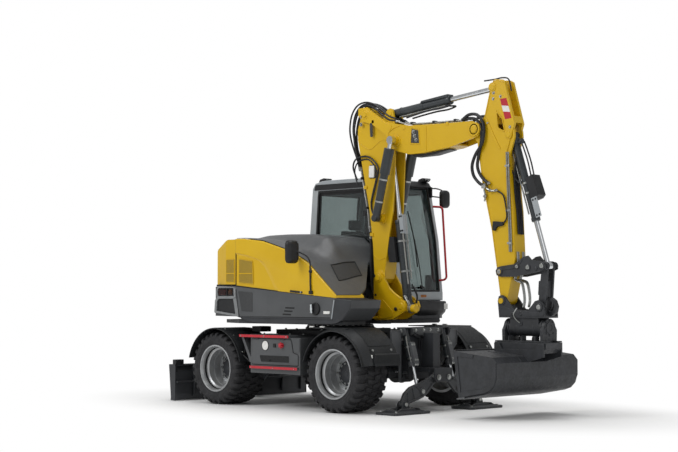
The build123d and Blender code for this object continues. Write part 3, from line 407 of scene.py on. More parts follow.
def rounded(points, radius=0, steps=4):
    # the outline with its corners rounded; a third number in a point is that corner's own radius
    ring = []
    for i, here in enumerate(points):
        corner = Vector(here[:2])
        back, ahead = Vector(points[i - 1][:2]) - corner, Vector(points[(i + 1) % len(points)][:2]) - corner
        size = here[2] if len(here) > 2 else radius
        turn = back.angle(ahead, math.pi)
        cut = min(size / math.tan(turn / 2), 0.45 * back.length, 0.45 * ahead.length) if turn < 3.1 and size else 0
        if cut <= 0:
            ring.append(corner)
            continue
        start, end = corner + back.normalized() * cut, corner + ahead.normalized() * cut
        for k in range(steps + 1):
            t = k / steps
            ring.append(start * (1 - t) ** 2 + corner * 2 * t * (1 - t) + end * t * t)
    return ring


# puts a point of an outline, and its place along x, y or z, in X, Y, Z order
lay = {"x": lambda p, w: (w, p[0], p[1]), "y": lambda p, w: (p[0], w, p[1]), "z": lambda p, w: (p[0], p[1], w)}


def span(side, a, b):
    # from a to b on the left (1) or the right (-1) of the machine, smaller number first
    return sorted((side * a, side * b))


def addStrip(low, high):
    for i in range(len(low)):
        mesh.faces.new((low[i - 1], low[i], high[i], high[i - 1]))


def addLayers(rings):
    # a closed body through outlines that have the same number of points
    made = [[mesh.verts.new(p) for p in ring] for ring in rings]
    mesh.faces.new(made[0][::-1])
    mesh.faces.new(made[-1])
    for low, high in zip(made, made[1:]):
        addStrip(low, high)


def addPlate(points, across, start, end, radius=0, endPoints=None):
    # a plate whose outline lies in the two axes other than across, in X, Y, Z order
    first, last = rounded(points, radius), rounded(endPoints or points, radius)
    addLayers([[lay[across](p, start) for p in first], [lay[across](p, end) for p in last]])


def addBox(x, y, z, radius=0, across="y"):
    spans = {"x": (y, z, x), "y": (x, z, y), "z": (x, y, z)}
    u, v, w = spans[across]
    addPlate([(u[0], v[0]), (u[1], v[0]), (u[1], v[1]), (u[0], v[1])], across, w[0], w[1], radius)


def addLathe(at, direction, profile, sides=24, closed=False):
    # a turned body: the profile gives radius and distance along the direction
    way = Vector(direction).normalized()
    first = way.orthogonal().normalized()
    second = way.cross(first)
    rings = []
    for r, along in profile:
        middle = Vector(at) + way * along
        if r == 0:
            rings.append([mesh.verts.new(middle)])
            continue
        turns = [2 * math.pi * k / sides for k in range(sides)]
        rings.append([mesh.verts.new(middle + (first * math.cos(t) + second * math.sin(t)) * r) for t in turns])
    pairs = list(zip(rings, rings[1:])) + ([(rings[-1], rings[0])] if closed else [])
    for low, high in pairs:
        for k in range(sides):
            a, b = low[k % len(low)], low[(k + 1) % len(low)]
            c, d = high[(k + 1) % len(high)], high[k % len(high)]
            corners = list(dict.fromkeys((a, b, c, d)))
            if len(corners) > 2:
                mesh.faces.new(corners)
    if not closed:
        for ring in (rings[0], rings[-1]):
            if len(ring) > 1:
                mesh.faces.new(ring)


def addCap(at, direction, r, deep, narrow, chamfer=4, sides=24):
    # a round cap of radius r whose edge narrows over its chamfer
    addLathe(at, direction, [(r, 0), (r, deep), (r - narrow, deep + chamfer), (0, deep + chamfer)], sides)


def addBar(start, end, r, sides=16):
    run = Vector(end) - Vector(start)
    addLathe(start, run, [(r, 0), (r, run.length)], sides)


def addBolt(at, direction, size, washer=True):
    # a hexagon head on its washer; size is the width across the flats
    base = 0
    if washer:
        addLathe(at, direction, [(size * 0.95, 0), (size * 0.95, size * 0.14)], 14)
        base = size * 0.14
    addLathe(at, direction, [(size * 0.57, base), (size * 0.57, base + size * 0.5),
                             (size * 0.48, base + size * 0.62)], 6)


def smoothPath(points, steps=6):
    # a smooth line through all the points
    line = [Vector(p) for p in points]
    line = [line[0] * 2 - line[1]] + line + [line[-1] * 2 - line[-2]]
    path = []
    for a, b, c, d in zip(line, line[1:], line[2:], line[3:]):
        for k in range(steps):
            t = k / steps
            path.append(0.5 * (2 * b + (c - a) * t + (2 * a - 5 * b + 4 * c - d) * t * t
                               + (3 * b - a - 3 * c + d) * t ** 3))
    return path + [line[-2]]


def addTube(points, r, sides=8, steps=6):
    # a round hose or pipe along a smooth line
    path = smoothPath(points, steps) if steps > 1 else [Vector(p) for p in points]
    way = (path[1] - path[0]).normalized()
    out = way.orthogonal().normalized()
    rings = []
    for i, here in enumerate(path):
        ahead = (path[min(i + 1, len(path) - 1)] - path[max(i - 1, 0)]).normalized()
        out = (out - ahead * out.dot(ahead)).normalized()
        other = ahead.cross(out)
        turns = [2 * math.pi * k / sides for k in range(sides)]
        rings.append([here + (out * math.cos(t) + other * math.sin(t)) * r for t in turns])
    addLayers(rings)


def addMirror():
    # the same again on the other side of the machine
    copies = bmesh.ops.duplicate(mesh, geom=mesh.verts[:] + mesh.edges[:] + mesh.faces[:])["geom"]
    for vert in (g for g in copies if isinstance(g, bmesh.types.BMVert)):
        vert.co.y = -vert.co.y


def makePiece(name, finish, body, bevel=0, segments=2, sharp=35):
    bmesh.ops.recalc_face_normals(mesh, faces=mesh.faces)
    for vert in mesh.verts:
        vert.co = Vector((vert.co.x + swingAxis, vert.co.y, vert.co.z)) * mm
    data = bpy.data.meshes.new(name)
    mesh.to_mesh(data)
    mesh.clear()
    data.polygons.foreach_set("use_smooth", [True] * len(data.polygons))
    data.set_sharp_from_angle(angle=math.radians(sharp))
    piece = bpy.data.objects.new(name, data)
    scene.collection.objects.link(piece)
    if bevel:
        edge = piece.modifiers.new("edges", "BEVEL")
        edge.width = bevel * mm
        edge.segments = segments
        edge.limit_method = "ANGLE"
        edge.angle_limit = math.radians(sharp)
        edge.harden_normals = True
    data.materials.append(finishes[finish])
    if body:
        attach(piece, body)
    return piece


def perforatedFinish(name, look):
    # punched steel sheet over the radiators: enamel with rows of holes, really 5 mm apart, drawn at 16 mm,
    # with painted shade in the holes: a darker colour stands for the hollow behind them
    material, tree, shader, place = startMaterial(name, Roughness=0.5)
    soft, _ = roundEdges(tree, 2)
    parts = addNode(tree, "ShaderNodeSeparateXYZ", {"Vector": place})
    turn = 2 * math.pi / (look["pitch"] * mm)
    across = sums(tree, "ADD", parts.outputs["X"], parts.outputs["Y"])
    first = sums(tree, "SINE", sums(tree, "MULTIPLY", across, turn))
    second = sums(tree, "SINE", sums(tree, "MULTIPLY", parts.outputs["Z"], turn))
    shadedHole = ramp(tree, sums(tree, "MULTIPLY", first, second), From_Min=0.05, From_Max=0.35)
    shade = blendColour(tree, patch(tree, place, 260, 0.35, 0.7), look["base"], look["faded"])
    # the holes get their painted shade here
    dress(tree, shader, blendColour(tree, shadedHole, shade, look["shadedHole"]), shadedHole, 0.5, soft, distance=-0.002)
    return material


perforatedLooks = {
    # the last colour of each is the painted shade in the holes
    "meshYellow": {"base": "#B08F14", "faded": "#A88A18", "shadedHole": "#6E5808", "pitch": 16},
    "meshBlack": {"base": "#3A3C3E", "faded": "#404244", "shadedHole": "#131415", "pitch": 16},
}
finishes.update({name: perforatedFinish(name, look) for name, look in perforatedLooks.items()})
print("helpers ready")

# ---- wheels

tyreLook = {"radius": 460, "pitches": 28, "carcass": 436}
wheelAt = {name: joints["wheel_" + name]["pos_m"] for name in ("fr", "fl", "rr", "rl")}


def addLug(centre, angle, columns):
    # one tread block: each column is across, front, back, top radius and base radius
    rings = []
    for across, front, back, top, base in columns:
        ring = []
        for along, r in ((front, top), (back, top), (back + 3, base), (front - 3, base)):
            turn = angle + along / tyreLook["radius"]
            ring.append((centre[0] + r * math.cos(turn), centre[1] + across, centre[2] + r * math.sin(turn)))
        rings.append(ring)
    addLayers(rings)


def addTyre(centre, side):
    wall = [(288, 214), (291, 229), (301, 233), (316, 232), (322, 238), (326, 238), (330, 241), (347, 246),
            (349, 250), (353, 250), (356, 248), (372, 251), (388, 250), (404, 245), (418, 232), (430, 205),
            (tyreLook["carcass"], 170), (tyreLook["carcass"] + 2, 60)]
    profile = wall + [(r, -w) for r, w in reversed(wall)]
    addLathe(centre, (0, 1, 0), profile, 84, closed=True)
    step = 2 * math.pi / tyreLook["pitches"]
    for k in range(tyreLook["pitches"]):
        for way in (-1, 1):
            angle = k * step + (step / 2 if way > 0 else 0)
            lean = side * 10
            shoulder = [(122, -30, 22, 459, 432), (160, -33 + lean, 20 + lean, 460, 432),
                        (200, -35 + lean, 17 + lean, 458, 428), (226, -36 + lean, 14 + lean, 451, 418),
                        (240, -35 + lean, 11 + lean, 440, 408), (248, -32 + lean, 8 + lean, 426, 400)]
            addLug(centre, angle, [(way * w, a, b, top, base) for w, a, b, top, base in shoulder])
            inner = [(8, -22, 26, 460, 434), (52, -12, 38, 460, 434), (104, 2, 50, 460, 434)]
            addLug(centre, angle + 0.02, [(way * w, a, b, top, base) for w, a, b, top, base in inner])
            rib = [(110, 30, 44, 452, 432), (124, 28, 42, 452, 432)]
            addLug(centre, angle, [(way * w, a, b, top, base) for w, a, b, top, base in rib])
            # a raised bar low on the wall at every other pitch
            if k % 2 == 0:
                bar = [(247, -9, 9, 376, 358), (254, -7, 7, 374, 360)]
                addLug(centre, angle, [(way * w, a, b, top, base) for w, a, b, top, base in bar])


for name, at in wheelAt.items():
    side = 1 if at[1] > 0 else -1
    centre = (at[0] / mm - swingAxis, at[1] / mm, at[2] / mm)
    addTyre(centre, side)
    tyre = makePiece("tyreTread_" + name, "tyreRubber", "wheel_" + name, bevel=1.5, segments=1, sharp=32)
    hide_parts("tyre_" + name)

# the hub's planetary cover, its bolts, the wheel nuts and the valve
hubLook = {"coverRadius": 146, "nuts": 10, "nutCircle": 192, "nutSize": 27, "bolts": 12, "boltCircle": 118,
           "boltSize": 17}
for name, at in wheelAt.items():
    side = 1 if at[1] > 0 else -1
    x, z = at[0] / mm - swingAxis, at[2] / mm
    out = (0, side, 0)
    r = hubLook["coverRadius"]
    addLathe((x, side * 944, z), out, [(r + 3, 0), (r + 3, 8), (r - 2, 12), (r - 14, 13), (r - 18, 18), (92, 22),
                                       (84, 27), (30, 29), (26, 34), (0, 34)], 40)
    makePiece("hubCover_" + name, "chassisEnamel", "wheel_" + name)
    for k in range(hubLook["bolts"]):
        turn = 2 * math.pi * (k + 0.5) / hubLook["bolts"]
        spot = (x + hubLook["boltCircle"] * math.cos(turn), side * 961, z + hubLook["boltCircle"] * math.sin(turn))
        addBolt(spot, out, hubLook["boltSize"])
    for k in range(hubLook["nuts"]):
        turn = 2 * math.pi * k / hubLook["nuts"]
        spot = Vector((x + hubLook["nutCircle"] * math.cos(turn), side * 913,
                       z + hubLook["nutCircle"] * math.sin(turn)))
        addBolt(spot, out, hubLook["nutSize"])
        addBar(spot, spot + Vector(out) * 32, 9, sides=10)
    addTube([(x - 232, side * 930, z + 40), (x - 236, side * 960, z + 42), (x - 244, side * 1000, z + 44)], 5)
    makePiece("wheelNuts_" + name, "zincPlate", "wheel_" + name)
    # rolled beads and the lock ring of the rim
    for r, low, high, thick in ((296, 1186, 1202, 9), (281, 1160, 1172, 6), (262, 1108, 1118, 7),
                                (236, 1008, 1020, 5)):
        ring = [(r - thick, side * low), (r, side * (low - 3)), (r + 3, side * (low + high) / 2),
                (r, side * (high + 1)), (r - thick, side * high)]
        addLathe((x, 0, z), (0, 1, 0), ring, 64, closed=True)
    addLathe((x, 0, z), (0, 1, 0), [(152, side * 940), (158, side * 943), (158, side * 950), (150, side * 953)], 48,
             closed=True)
    makePiece("rimBeads_" + name, "wheelSilver", "wheel_" + name)
    addLathe((x, 0, z), (0, 1, 0), [(262, side * 1122), (267, side * 1124), (268, side * 1148), (263, side * 1150)],
             64, closed=True)
    makePiece("rimGroove_" + name, "sealRubber", "wheel_" + name)
print("wheels built")

# ---- engine hood and body panels, on the right of the upper body

hoodLook = {"face": 1120, "inner": 640, "recess": 17, "roundEdge": 16}
sweepTop = [(-1528, 1952), (-1321, 1920), (-1127, 1874), (-990, 1826), (-900, 1762), (-820, 1665), (-672, 1443)]
sweepLow = [(-1528, 1914), (-1321, 1884), (-1140, 1846), (-1062, 1806), (-1008, 1755), (-935, 1655), (-803, 1453)]
hoodFront = [(300, 1362, 6), (288, 1392, 12), (-205, 1800, 60), (-505, 1942, 90), (-1020, 2081, 200),
             (-1380, 2121, 200), (-1528, 2124)]
hoodWhole = [(-1528, 1518), (-820, 1455)] + hoodFront


def addSideHood():
    face, step, edge = -hoodLook["face"], hoodLook["recess"], hoodLook["roundEdge"]
    # the recessed panel and the body of the hood, rounded over towards its top
    inset = [(x, z - 10 * (z > 1500)) for x, z in [p[:2] for p in hoodWhole]]
    addLayers([[(p[0], face + step, p[1]) for p in rounded(inset, 0)],
               [(p[0], -hoodLook["inner"], p[1]) for p in rounded([p[:2] for p in hoodWhole], 0)]])
    # the proud front panel with its sweeping edge
    outer = sweepTop + [p[:2] for p in hoodFront]
    lower = sweepLow + [p[:2] for p in hoodFront]
    drop = [(x, z - edge * (z > 1500)) for x, z in outer]
    half = [(x, z - 5 * (z > 1500)) for x, z in lower]
    middle = [((a[0] + b[0]) / 2, (a[1] + b[1]) / 2) for a, b in zip(sweepTop, sweepLow)]
    middle += [(x, z - 8 * (z > 1500)) for x, z, *_ in hoodFront]
    addLayers([[(x, face, z) for x, z in drop], [(x, face + 7, z) for x, z in middle],
               [(x, face + step + 3, z) for x, z in half]])


addSideHood()
hood = makePiece("hoodSide", "yellowEnamel", "upper", bevel=5, segments=3, sharp=30)
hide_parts("side_hood")

# perforated panels over the cooler, either side of the seam, with a raised frame and a rib across the middle
grilles = {
    "side": ("upper", -hoodLook["face"] + 14, [(-1472, 1858), (-1216, 1826), (-1196, 1536), (-1472, 1556)], 1672),
    "rear": ("rear_hood", -1098, [(-1738, 1856), (-1572, 1856), (-1572, 1560), (-1738, 1566)], 1676),
}
grilleSeam = -1572


def leanOut(lean):
    # what lies behind the seam leans outwards with the rear hood
    for vert in mesh.verts:
        vert.co.y -= lean * (vert.co.x - grilleSeam) if lean else 0


for name, (body, face, outline, middle) in grilles.items():
    lean = 0.035 if name == "rear" else 0
    addPlate(outline, "y", face - 4, face + 3, radius=16)
    leanOut(lean)
    makePiece("hoodMesh_" + name, "meshYellow", body)
    ring = rounded(outline, 16)
    for a, b in zip(ring, ring[1:] + ring[:1]):
        addBar((a[0], face - 3, a[1]), (b[0], face - 3, b[1]), 5, sides=6)
    addBox((outline[0][0] + 4, outline[1][0] - 4), (face - 8, face), (middle - 6, middle + 6))
    leanOut(lean)
    makePiece("hoodFrame_" + name, "yellowEnamel", body, bevel=1.5)

# black handle with its bright lock, and the gasket between hood and body
addPlate([(-506, 1461), (-285, 1443), (-283, 1418), (-506, 1435)], "y", -1126, -1117, radius=11)
addPlate([(-490, 1455), (-345, 1443), (-345, 1431), (-490, 1443)], "y", -1131, -1122, radius=5)
makePiece("hoodHandle", "trimPlastic", "upper", bevel=2)
addCap((-312, -1124, 1434), (0, -1, 0), 11, 6, 3, chamfer=2, sides=16)
makePiece("hoodLock", "zincPlate", "upper")
addPlate([(-1530, 1522), (-820, 1460), (300, 1366), (560, 1342), (556, 1332), (300, 1350), (-820, 1444),
          (-1530, 1504)], "y", -1112, -660)
makePiece("hoodGasket", "sealRubber", "upper")
addPlate([(-1541, 1515), (-1529, 1515), (-1529, 2116), (-1541, 2116)], "y", -1108, -660)
addPlate([(-1955, 1508), (-1530, 1508), (-1530, 1534), (-1955, 1534)], "y", -1070, 900)
makePiece("rearGasket", "sealRubber", "upper")

# the rear grille
for y in range(-420, 421, 60):
    addBox((-2294, -2270), (y - 20, y + 20), (1600, 1700))
addBox((-2296, -2288), (-60, 60), (1560, 1584))
makePiece("rearGrille", "trimPlastic", "rear_hood", bevel=3)

# lower cover: dark mesh, three slots drawn as flat plates of painted shade, lamp pod, marker lamp and the bright edge
# of the front panel
addPlate([(-1472, 1450), (-1203, 1431), (-1202, 1188), (-1404, 1196)], "y", -1124, -1118, radius=12)
makePiece("coverMesh", "meshBlack", "upper")
# the slots are flat dark plates: painted shade of the openings
for x0, x1, z in ((-588, -423, 1242), (-606, -459, 1202), (-634, -487, 1162)):
    addPlate([(x0, z + 9), (x1, z + 5), (x1 - 8, z - 12), (x0 - 8, z - 8)], "y", -1123, -1117, radius=6)
makePiece("coverSlotShade", "sealRubber", "upper")
addPlate([(278, 1356), (240, 1104), (398, 1104), (536, 1240), (556, 1332)], "y", -1124, -1117, radius=10)
addPlate([(-1500, 1130), (240, 1120), (240, 1102), (-1440, 1112)], "y", -1126, -1118)
makePiece("coverFront", "chassisEnamel", "upper", bevel=2)
addPlate([(262, 1342), (276, 1342), (232, 1112), (219, 1112)], "y", -1130, -1119, radius=5)
makePiece("coverEdge", "pillarEnamel", "upper", bevel=1.5)
addBar((-1455, -1121, 1115), (-1516, -1121, 1472), 5, sides=6)
addBar((-1440, -1121, 1128), (200, -1121, 1128), 3.5, sides=6)
makePiece("coverSeams", "sealRubber", "upper")

lampPod = {"at": (-50, -1120, 1232), "radius": 76, "deep": 22}
r = lampPod["radius"]
addLathe(lampPod["at"], (0, -1, 0), [(r, -2), (r, 12), (r - 7, lampPod["deep"]), (r - 14, lampPod["deep"]),
                                     (r - 20, 10), (0, 8)], 40)
addPlate([(-128, 1290), (-84, 1296), (-72, 1170), (-118, 1176)], "y", -1146, -1128, radius=8)
makePiece("lampPod", "trimPlastic", "upper", bevel=2)
addPlate([(-124, 1284), (-94, 1288), (-84, 1180), (-114, 1182)], "y", -1149, -1144, radius=6)
makePiece("lampPodReflector", "lampReflector", "upper")
addPlate([(-126, 1287), (-92, 1291), (-82, 1177), (-116, 1179)], "y", -1154, -1150, radius=7)
makePiece("lampPodGlass", "lampGlass", "upper", bevel=1)
addBox((92, 196), (-1134, -1118), (1172, 1206), radius=6)
makePiece("markerLamp", "whiteLens", "upper", bevel=2)

# rear body frames on each corner: cast frames round dark recesses, with the tail lamps inside
for side in (-1, 1):
    tag = "right" if side < 0 else "left"
    frames = (([(-1540, 1500, 10), (-1905, 1500, 30), (-1925, 1440, 12), (-1910, 1375, 10), (-1530, 1375)], 26),
              ([(-1530, 1375), (-1905, 1375, 10), (-1945, 1330, 20), (-1958, 1170, 20), (-1470, 1120, 16)], 34))
    for outline, border in frames:
        middle = Vector((sum(p[0] for p in outline) / len(outline), sum(p[1] for p in outline) / len(outline)))
        ring = rounded(outline, 8)
        for a, b in zip(ring, ring[1:] + ring[:1]):
            low = [(a - middle) * (1 - border / 150) + middle, (b - middle) * (1 - border / 150) + middle]
            y0, y1 = side * 1088, side * 1112
            verts = [mesh.verts.new(p) for p in ((a[0], y0, a[1]), (b[0], y0, b[1]), (low[1][0], y0, low[1][1]),
                                                 (low[0][0], y0, low[0][1]), (a[0], y1 - side * 4, a[1]),
                                                 (b[0], y1 - side * 4, b[1]), (low[1][0], y1, low[1][1]),
                                                 (low[0][0], y1, low[0][1]))]
            for face in ((0, 1, 2, 3), (4, 5, 6, 7), (0, 1, 5, 4), (2, 3, 7, 6), (0, 3, 7, 4), (1, 2, 6, 5)):
                mesh.faces.new([verts[i] for i in face])
    bmesh.ops.remove_doubles(mesh, verts=mesh.verts, dist=0.05)
    makePiece("rearCorner_" + tag, "paleCasting", "upper", bevel=2)
    addPlate([(-1555, 1490), (-1890, 1488), (-1900, 1385), (-1550, 1385)], "y", side * 1080, side * 1093)
    addPlate([(-1550, 1365), (-1900, 1360), (-1935, 1190), (-1510, 1150)], "y", side * 1080, side * 1095)
    addBox((-1720, -1706), span(side, 1090, 1106), (1380, 1490))
    makePiece("rearRecess_" + tag, "trimPlastic", "upper", bevel=2)
    addBox((-1880, -1735), span(side, 1092, 1103), (1402, 1472), radius=14)
    makePiece("tailLamp_" + tag, "redLens", "upper", bevel=3)
    addBox((-1690, -1620), span(side, 1092, 1102), (1402, 1472), radius=14)
    makePiece("turnLamp_" + tag, "amberLens", "upper", bevel=3)
print("hood and covers built")

# ---- undercarriage: tool boxes, fenders and deck


def insetOutline(points, width):
    # the outline moved inwards by a width, for frames and seals
    line = [Vector(p[:2]) for p in points]
    area = sum(a.x * b.y - b.x * a.y for a, b in zip(line, line[1:] + line[:1]))
    turn = 1 if area > 0 else -1
    moved = []
    for i, here in enumerate(line):
        back, ahead = (here - line[i - 1]).normalized(), (line[(i + 1) % len(line)] - here).normalized()
        first, second = Vector((-back.y, back.x)) * turn, Vector((-ahead.y, ahead.x)) * turn
        lean = (first + second).normalized()
        moved.append(here + lean * width / max(lean.dot(first), 0.35))
    return moved


def addFrame(points, across, start, end, width, radius=0):
    # a flat frame of one width round an outline
    outer = rounded(points, radius)
    inner = insetOutline(outer, width)
    turns = ((outer, start), (outer, end), (inner, end), (inner, start))
    rings = [[mesh.verts.new(lay[across](p, w)) for p in ring] for ring, w in turns]
    for low, high in zip(rings, rings[1:] + rings[:1]):
        addStrip(low, high)


boxLook = {"face": 1190, "stepFrom": -1330, "disc": (-871, 774, 58), "knob": (-568, 781, 22)}
for side, tag in ((-1, "right"), (1, "left")):
    face = side * boxLook["face"]
    out = (0, side, 0)

    def skin(a, b, face=face, side=side):
        return sorted((face + side * a, face + side * b))

    addPlate([(-1336, 904), (-428, 904), (-428, 872), (-1326, 872)], "y", *skin(28, 38), radius=4)
    addPlate([(-1136, 518), (-268, 518), (-268, 486), (-1130, 486)], "y", *skin(33, 40), radius=4)
    makePiece("boxStrips_" + tag, "redEnamel", "base", bevel=2)
    addPlate([(-1120, 856), (-420, 856), (-396, 800), (-376, 690), (-286, 668), (-286, 540), (-1120, 540)], "y",
             *skin(-2, 7), radius=22)
    addPlate([(-380, 866), (-262, 866), (-262, 700), (-350, 706), (-372, 800)], "y", *skin(-2, 5), radius=16)
    addPlate([(-990, 668), (-430, 668), (-430, 560), (-960, 560)], "y", *skin(6, 9), radius=18)
    makePiece("boxDoors_" + tag, "anthraciteEnamel", "base", bevel=3)
    addFrame([(-1128, 866), (-412, 866), (-388, 806), (-368, 698), (-278, 676), (-278, 532), (-1128, 532)], "y",
             *skin(-1, 2), 7, radius=24)
    addPlate([(-975, 652), (-440, 652), (-440, 572), (-948, 572)], "y", *skin(8, 10.5), radius=14)
    addBox((-722, -678), skin(6, 16), (752, 800), radius=6)
    addCap((-790, face + side * 8, 590), out, 13, 10, 4, chamfer=3, sides=16)
    makePiece("boxSeals_" + tag, "sealRubber", "base", bevel=1)
    x, z, r = boxLook["disc"]
    addCap((x, face + side * 6, z), out, r, 4, 3, chamfer=2, sides=40)
    makePiece("boxDisc_" + tag, "whiteLens", "base")
    addLathe((x, 0, z), out, [(r - 1, abs(face) + 6), (r + 5, abs(face) + 6), (r + 5, abs(face) + 13),
                              (r - 1, abs(face) + 13)], 40, closed=True)
    makePiece("boxDiscRim_" + tag, "trimPlastic", "base")
    x, z, r = boxLook["knob"]
    addLathe((x, face + side * 6, z), out, [(r + 10, 0), (r + 10, 5), (12, 7), (12, 20), (r, 24), (r, 38),
                                            (r - 5, 42), (0, 42)], 20)
    for turn in (0.5, 1.57, 2.64):
        reach = Vector((math.cos(turn), 0, math.sin(turn))) * 40
        addBar(Vector((x, face + side * 31, z)) - reach, Vector((x, face + side * 31, z)) + reach, 8, sides=8)
    makePiece("boxSwitch_" + tag, "redEnamel", "base", bevel=1)
    # studs on the tread, hinges and bolts
    for i in range(16):
        for k in range(3):
            x, y = boxLook["stepFrom"] + 30 + i * 56 + (k % 2) * 28, side * (1112 + 38 * k)
            addPlate([(x - 13, y), (x, y - 6), (x + 13, y), (x, y + 6)], "z", 900, 904,
                     endPoints=[(x - 10, y), (x, y - 3), (x + 10, y), (x, y + 3)])
    addBox((-1322, -440), span(side, 700, 1050), (899, 906), radius=8, across="z")
    for x in (-1040, -560):
        addBox((x - 45, x + 45), skin(4, 14), (846, 862), radius=5)
    makePiece("boxTread_" + tag, "chassisEnamel", "base", bevel=1)
    for x, z in ((-1100, 500), (-700, 500), (-320, 500), (-1300, 888), (-870, 888), (-460, 888)):
        addBolt((x, face + side * 38, z), out, 11)
    for x in (-1240, -1000, -760, -520):
        addBolt((x, side * 880, 905), (0, 0, 1), 19)
    makePiece("boxBolts_" + tag, "zincPlate", "base")

# the fenders: rolled lips, tread panels, bolts, struts and lamps
fenderLook = {"lip": 511, "lipThick": 7, "from": 12, "to": 164}
frontAxle, rearAxle, axleHeight = 325, -1825, 460


def arcPoints(x, r, y, start, stop, steps=28):
    turns = [math.radians(start + (stop - start) * k / steps) for k in range(steps + 1)]
    return [(x + r * math.cos(t), y, axleHeight + r * math.sin(t)) for t in turns]


def addArcPlate(x, r0, r1, y0, y1, start, stop, steps=10):
    rings = []
    for k in range(steps + 1):
        t = math.radians(start + (stop - start) * k / steps)
        c, s = math.cos(t), math.sin(t)
        rings.append([(x + r * c, y, axleHeight + r * s) for r, y in ((r0, y0), (r1, y0), (r1, y1), (r0, y1))])
    addLayers(rings)


def addArcBolt(x, r, y, turn, size):
    c, s = math.cos(math.radians(turn)), math.sin(math.radians(turn))
    addBolt((x + r * c, y, axleHeight + r * s), (c, 0, s), size)


for x in (frontAxle, rearAxle):
    addTube(arcPoints(x, fenderLook["lip"], 1222, fenderLook["from"], fenderLook["to"]), fenderLook["lipThick"],
            steps=1)
addArcPlate(frontAxle, 574, 583, 700, 1075, 15, 33)
addArcPlate(frontAxle, 574, 579, 690, 1085, 36, 60)
addArcPlate(rearAxle, 517, 521, 700, 1190, 20, 60)
addArcPlate(rearAxle, 517, 521, 700, 1190, 70, 110)
addPlate([(872, 580), (905, 560), (915, 610), (905, 700), (880, 720)], "y", 660, 1070, radius=18)
addMirror()
makePiece("fenderPanels", "guardPlastic", "base", bevel=3)
for turn in (18, 30):
    for y in (730, 1045):
        addArcBolt(frontAxle, 582, y, turn, 17)
for turn in (25, 55, 75, 105):
    addArcBolt(rearAxle, 520, 1150, turn, 13)
addMirror()
makePiece("fenderBolts", "zincPlate", "base")
addBar((-1340, 1150, 640), (-1200, 1150, 560), 9)
addBar((-1300, 1120, 880), (-1348, 1120, 660), 8)
addBox((-1500, -1330), (680, 860), (930, 1000), radius=14)
addMirror()
makePiece("fenderStruts", "trimPlastic", "base", bevel=4)
for x, y in ((-120, 1118), (60, 1118)):
    addBox((x - 34, x + 34), (y - 14, y + 12), (1000, 1024), radius=6)
addBox((842, 862), (1078, 1092), (640, 700), radius=4)
addMirror()
makePiece("fenderLamps", "whiteLens", "base", bevel=2)

# the deck between the wheels: closing plates, the slewing ring with its bolts, the axles' castings
addPlate([(-1320, -610), (-230, -610), (-140, -560), (-140, 560), (-230, 610), (-1320, 610)], "z", 896, 958,
         radius=20)
addPlate([(-140, -430), (640, -430), (640, 430), (-140, 430)], "z", 802, 846, radius=20)
addPlate([(-2060, -420), (-1320, -420), (-1320, 420), (-2060, 420)], "z", 802, 846, radius=20)
for side in (-1, 1):
    addBox((-1230, -300), span(side, 600, 640), (700, 900), radius=12)
makePiece("deckPlates", "chassisEnamel", "base", bevel=4)
for k in range(32):
    t = 2 * math.pi * k / 32
    addBolt((-750 + 412 * math.cos(t), 412 * math.sin(t), 1010), (0, 0, 1), 22)
for x in (-1180, -980, -520, -320):
    for y in (-560, 560):
        addBolt((x, y, 958), (0, 0, 1), 24)
makePiece("deckBolts", "zincPlate", "base")
addLathe((-750, 0, 958), (0, 0, 1), [(452, 0), (452, 22), (440, 30), (432, 44), (432, 0)], 64)
for x in (frontAxle, rearAxle):
    addLathe((x, 0, axleHeight), (1, 0, 0), [(60, -190), (92, -180), (110, -150), (118, -60), (142, -20), (150, 0),
                                             (142, 20), (118, 60), (92, 150), (60, 160)], 28)
    for y in (330, -330, 450, -450, 560, -560):
        addLathe((x, y, axleHeight), (0, 1, 0), [(86, -16), (100, -12), (100, 12), (86, 16)], 24)
makePiece("axleCastings", "primedCasting", "base", bevel=2)

# steering ram and its rod
addBar((480, -180, 470), (480, 180, 470), 38)
makePiece("steeringRam", "ramEnamel", "base", bevel=2)
addBar((480, -300, 470), (480, 300, 470), 17)
makePiece("steeringRod", "hardChrome", "base")
print("undercarriage built")

# ---- blade

for y in (-900, -520, -60, 320, 700, 1060):
    addPlate([(-2640, 60), (-2610, 60), (-2600, 250), (-2622, 420), (-2662, 470), (-2640, 300)], "y", y, y + 14)
addBox((-2648, -2606), (-1185, 1185), (240, 262), radius=4)
addBox((-2766, -2640), (-1199, 1199), (462, 482), radius=6)
for y in (-1199, 1187):
    addFrame([(-2655, 14), (-2720, 14), (-2764, 476), (-2645, 476)], "y", y, y + 12, 22)
makePiece("bladeRibs", "chassisEnamel", "blade", bevel=3)
addBox((-2700, -2630), (-1195, -1060), (482, 545), radius=8)
addBox((-2700, -2630), (1060, 1195), (482, 545), radius=8)
addBox((-2726, -2648), (-1199, -1150), (380, 470), radius=6)
makePiece("bladeBlocks", "trimPlastic", "blade", bevel=5)
addPlate([(-2731, 5), (-2741, 14), (-2727, 92), (-2715, 92), (-2722, 14)], "y", -1196, 1196)
for y in range(-1100, 1101, 220):
    addBolt((-2731, y, 52), (-1, 0, 0.15), 24)
makePiece("bladeEdge", "wornSteel", "blade", bevel=1.5)
for y in (-250, 200, -240, 210):
    addLathe((-2250, y, 460), (0, 1, 0), [(42, 0), (42, 38), (30, 42), (30, -4)], 24)
addMirror()
makePiece("bladeBushes", "zincPlate", "blade")
print("blade built")


# ---- top cover, skirt, the dark sheet of painted shade in the bay, and mirrors, on the upper body


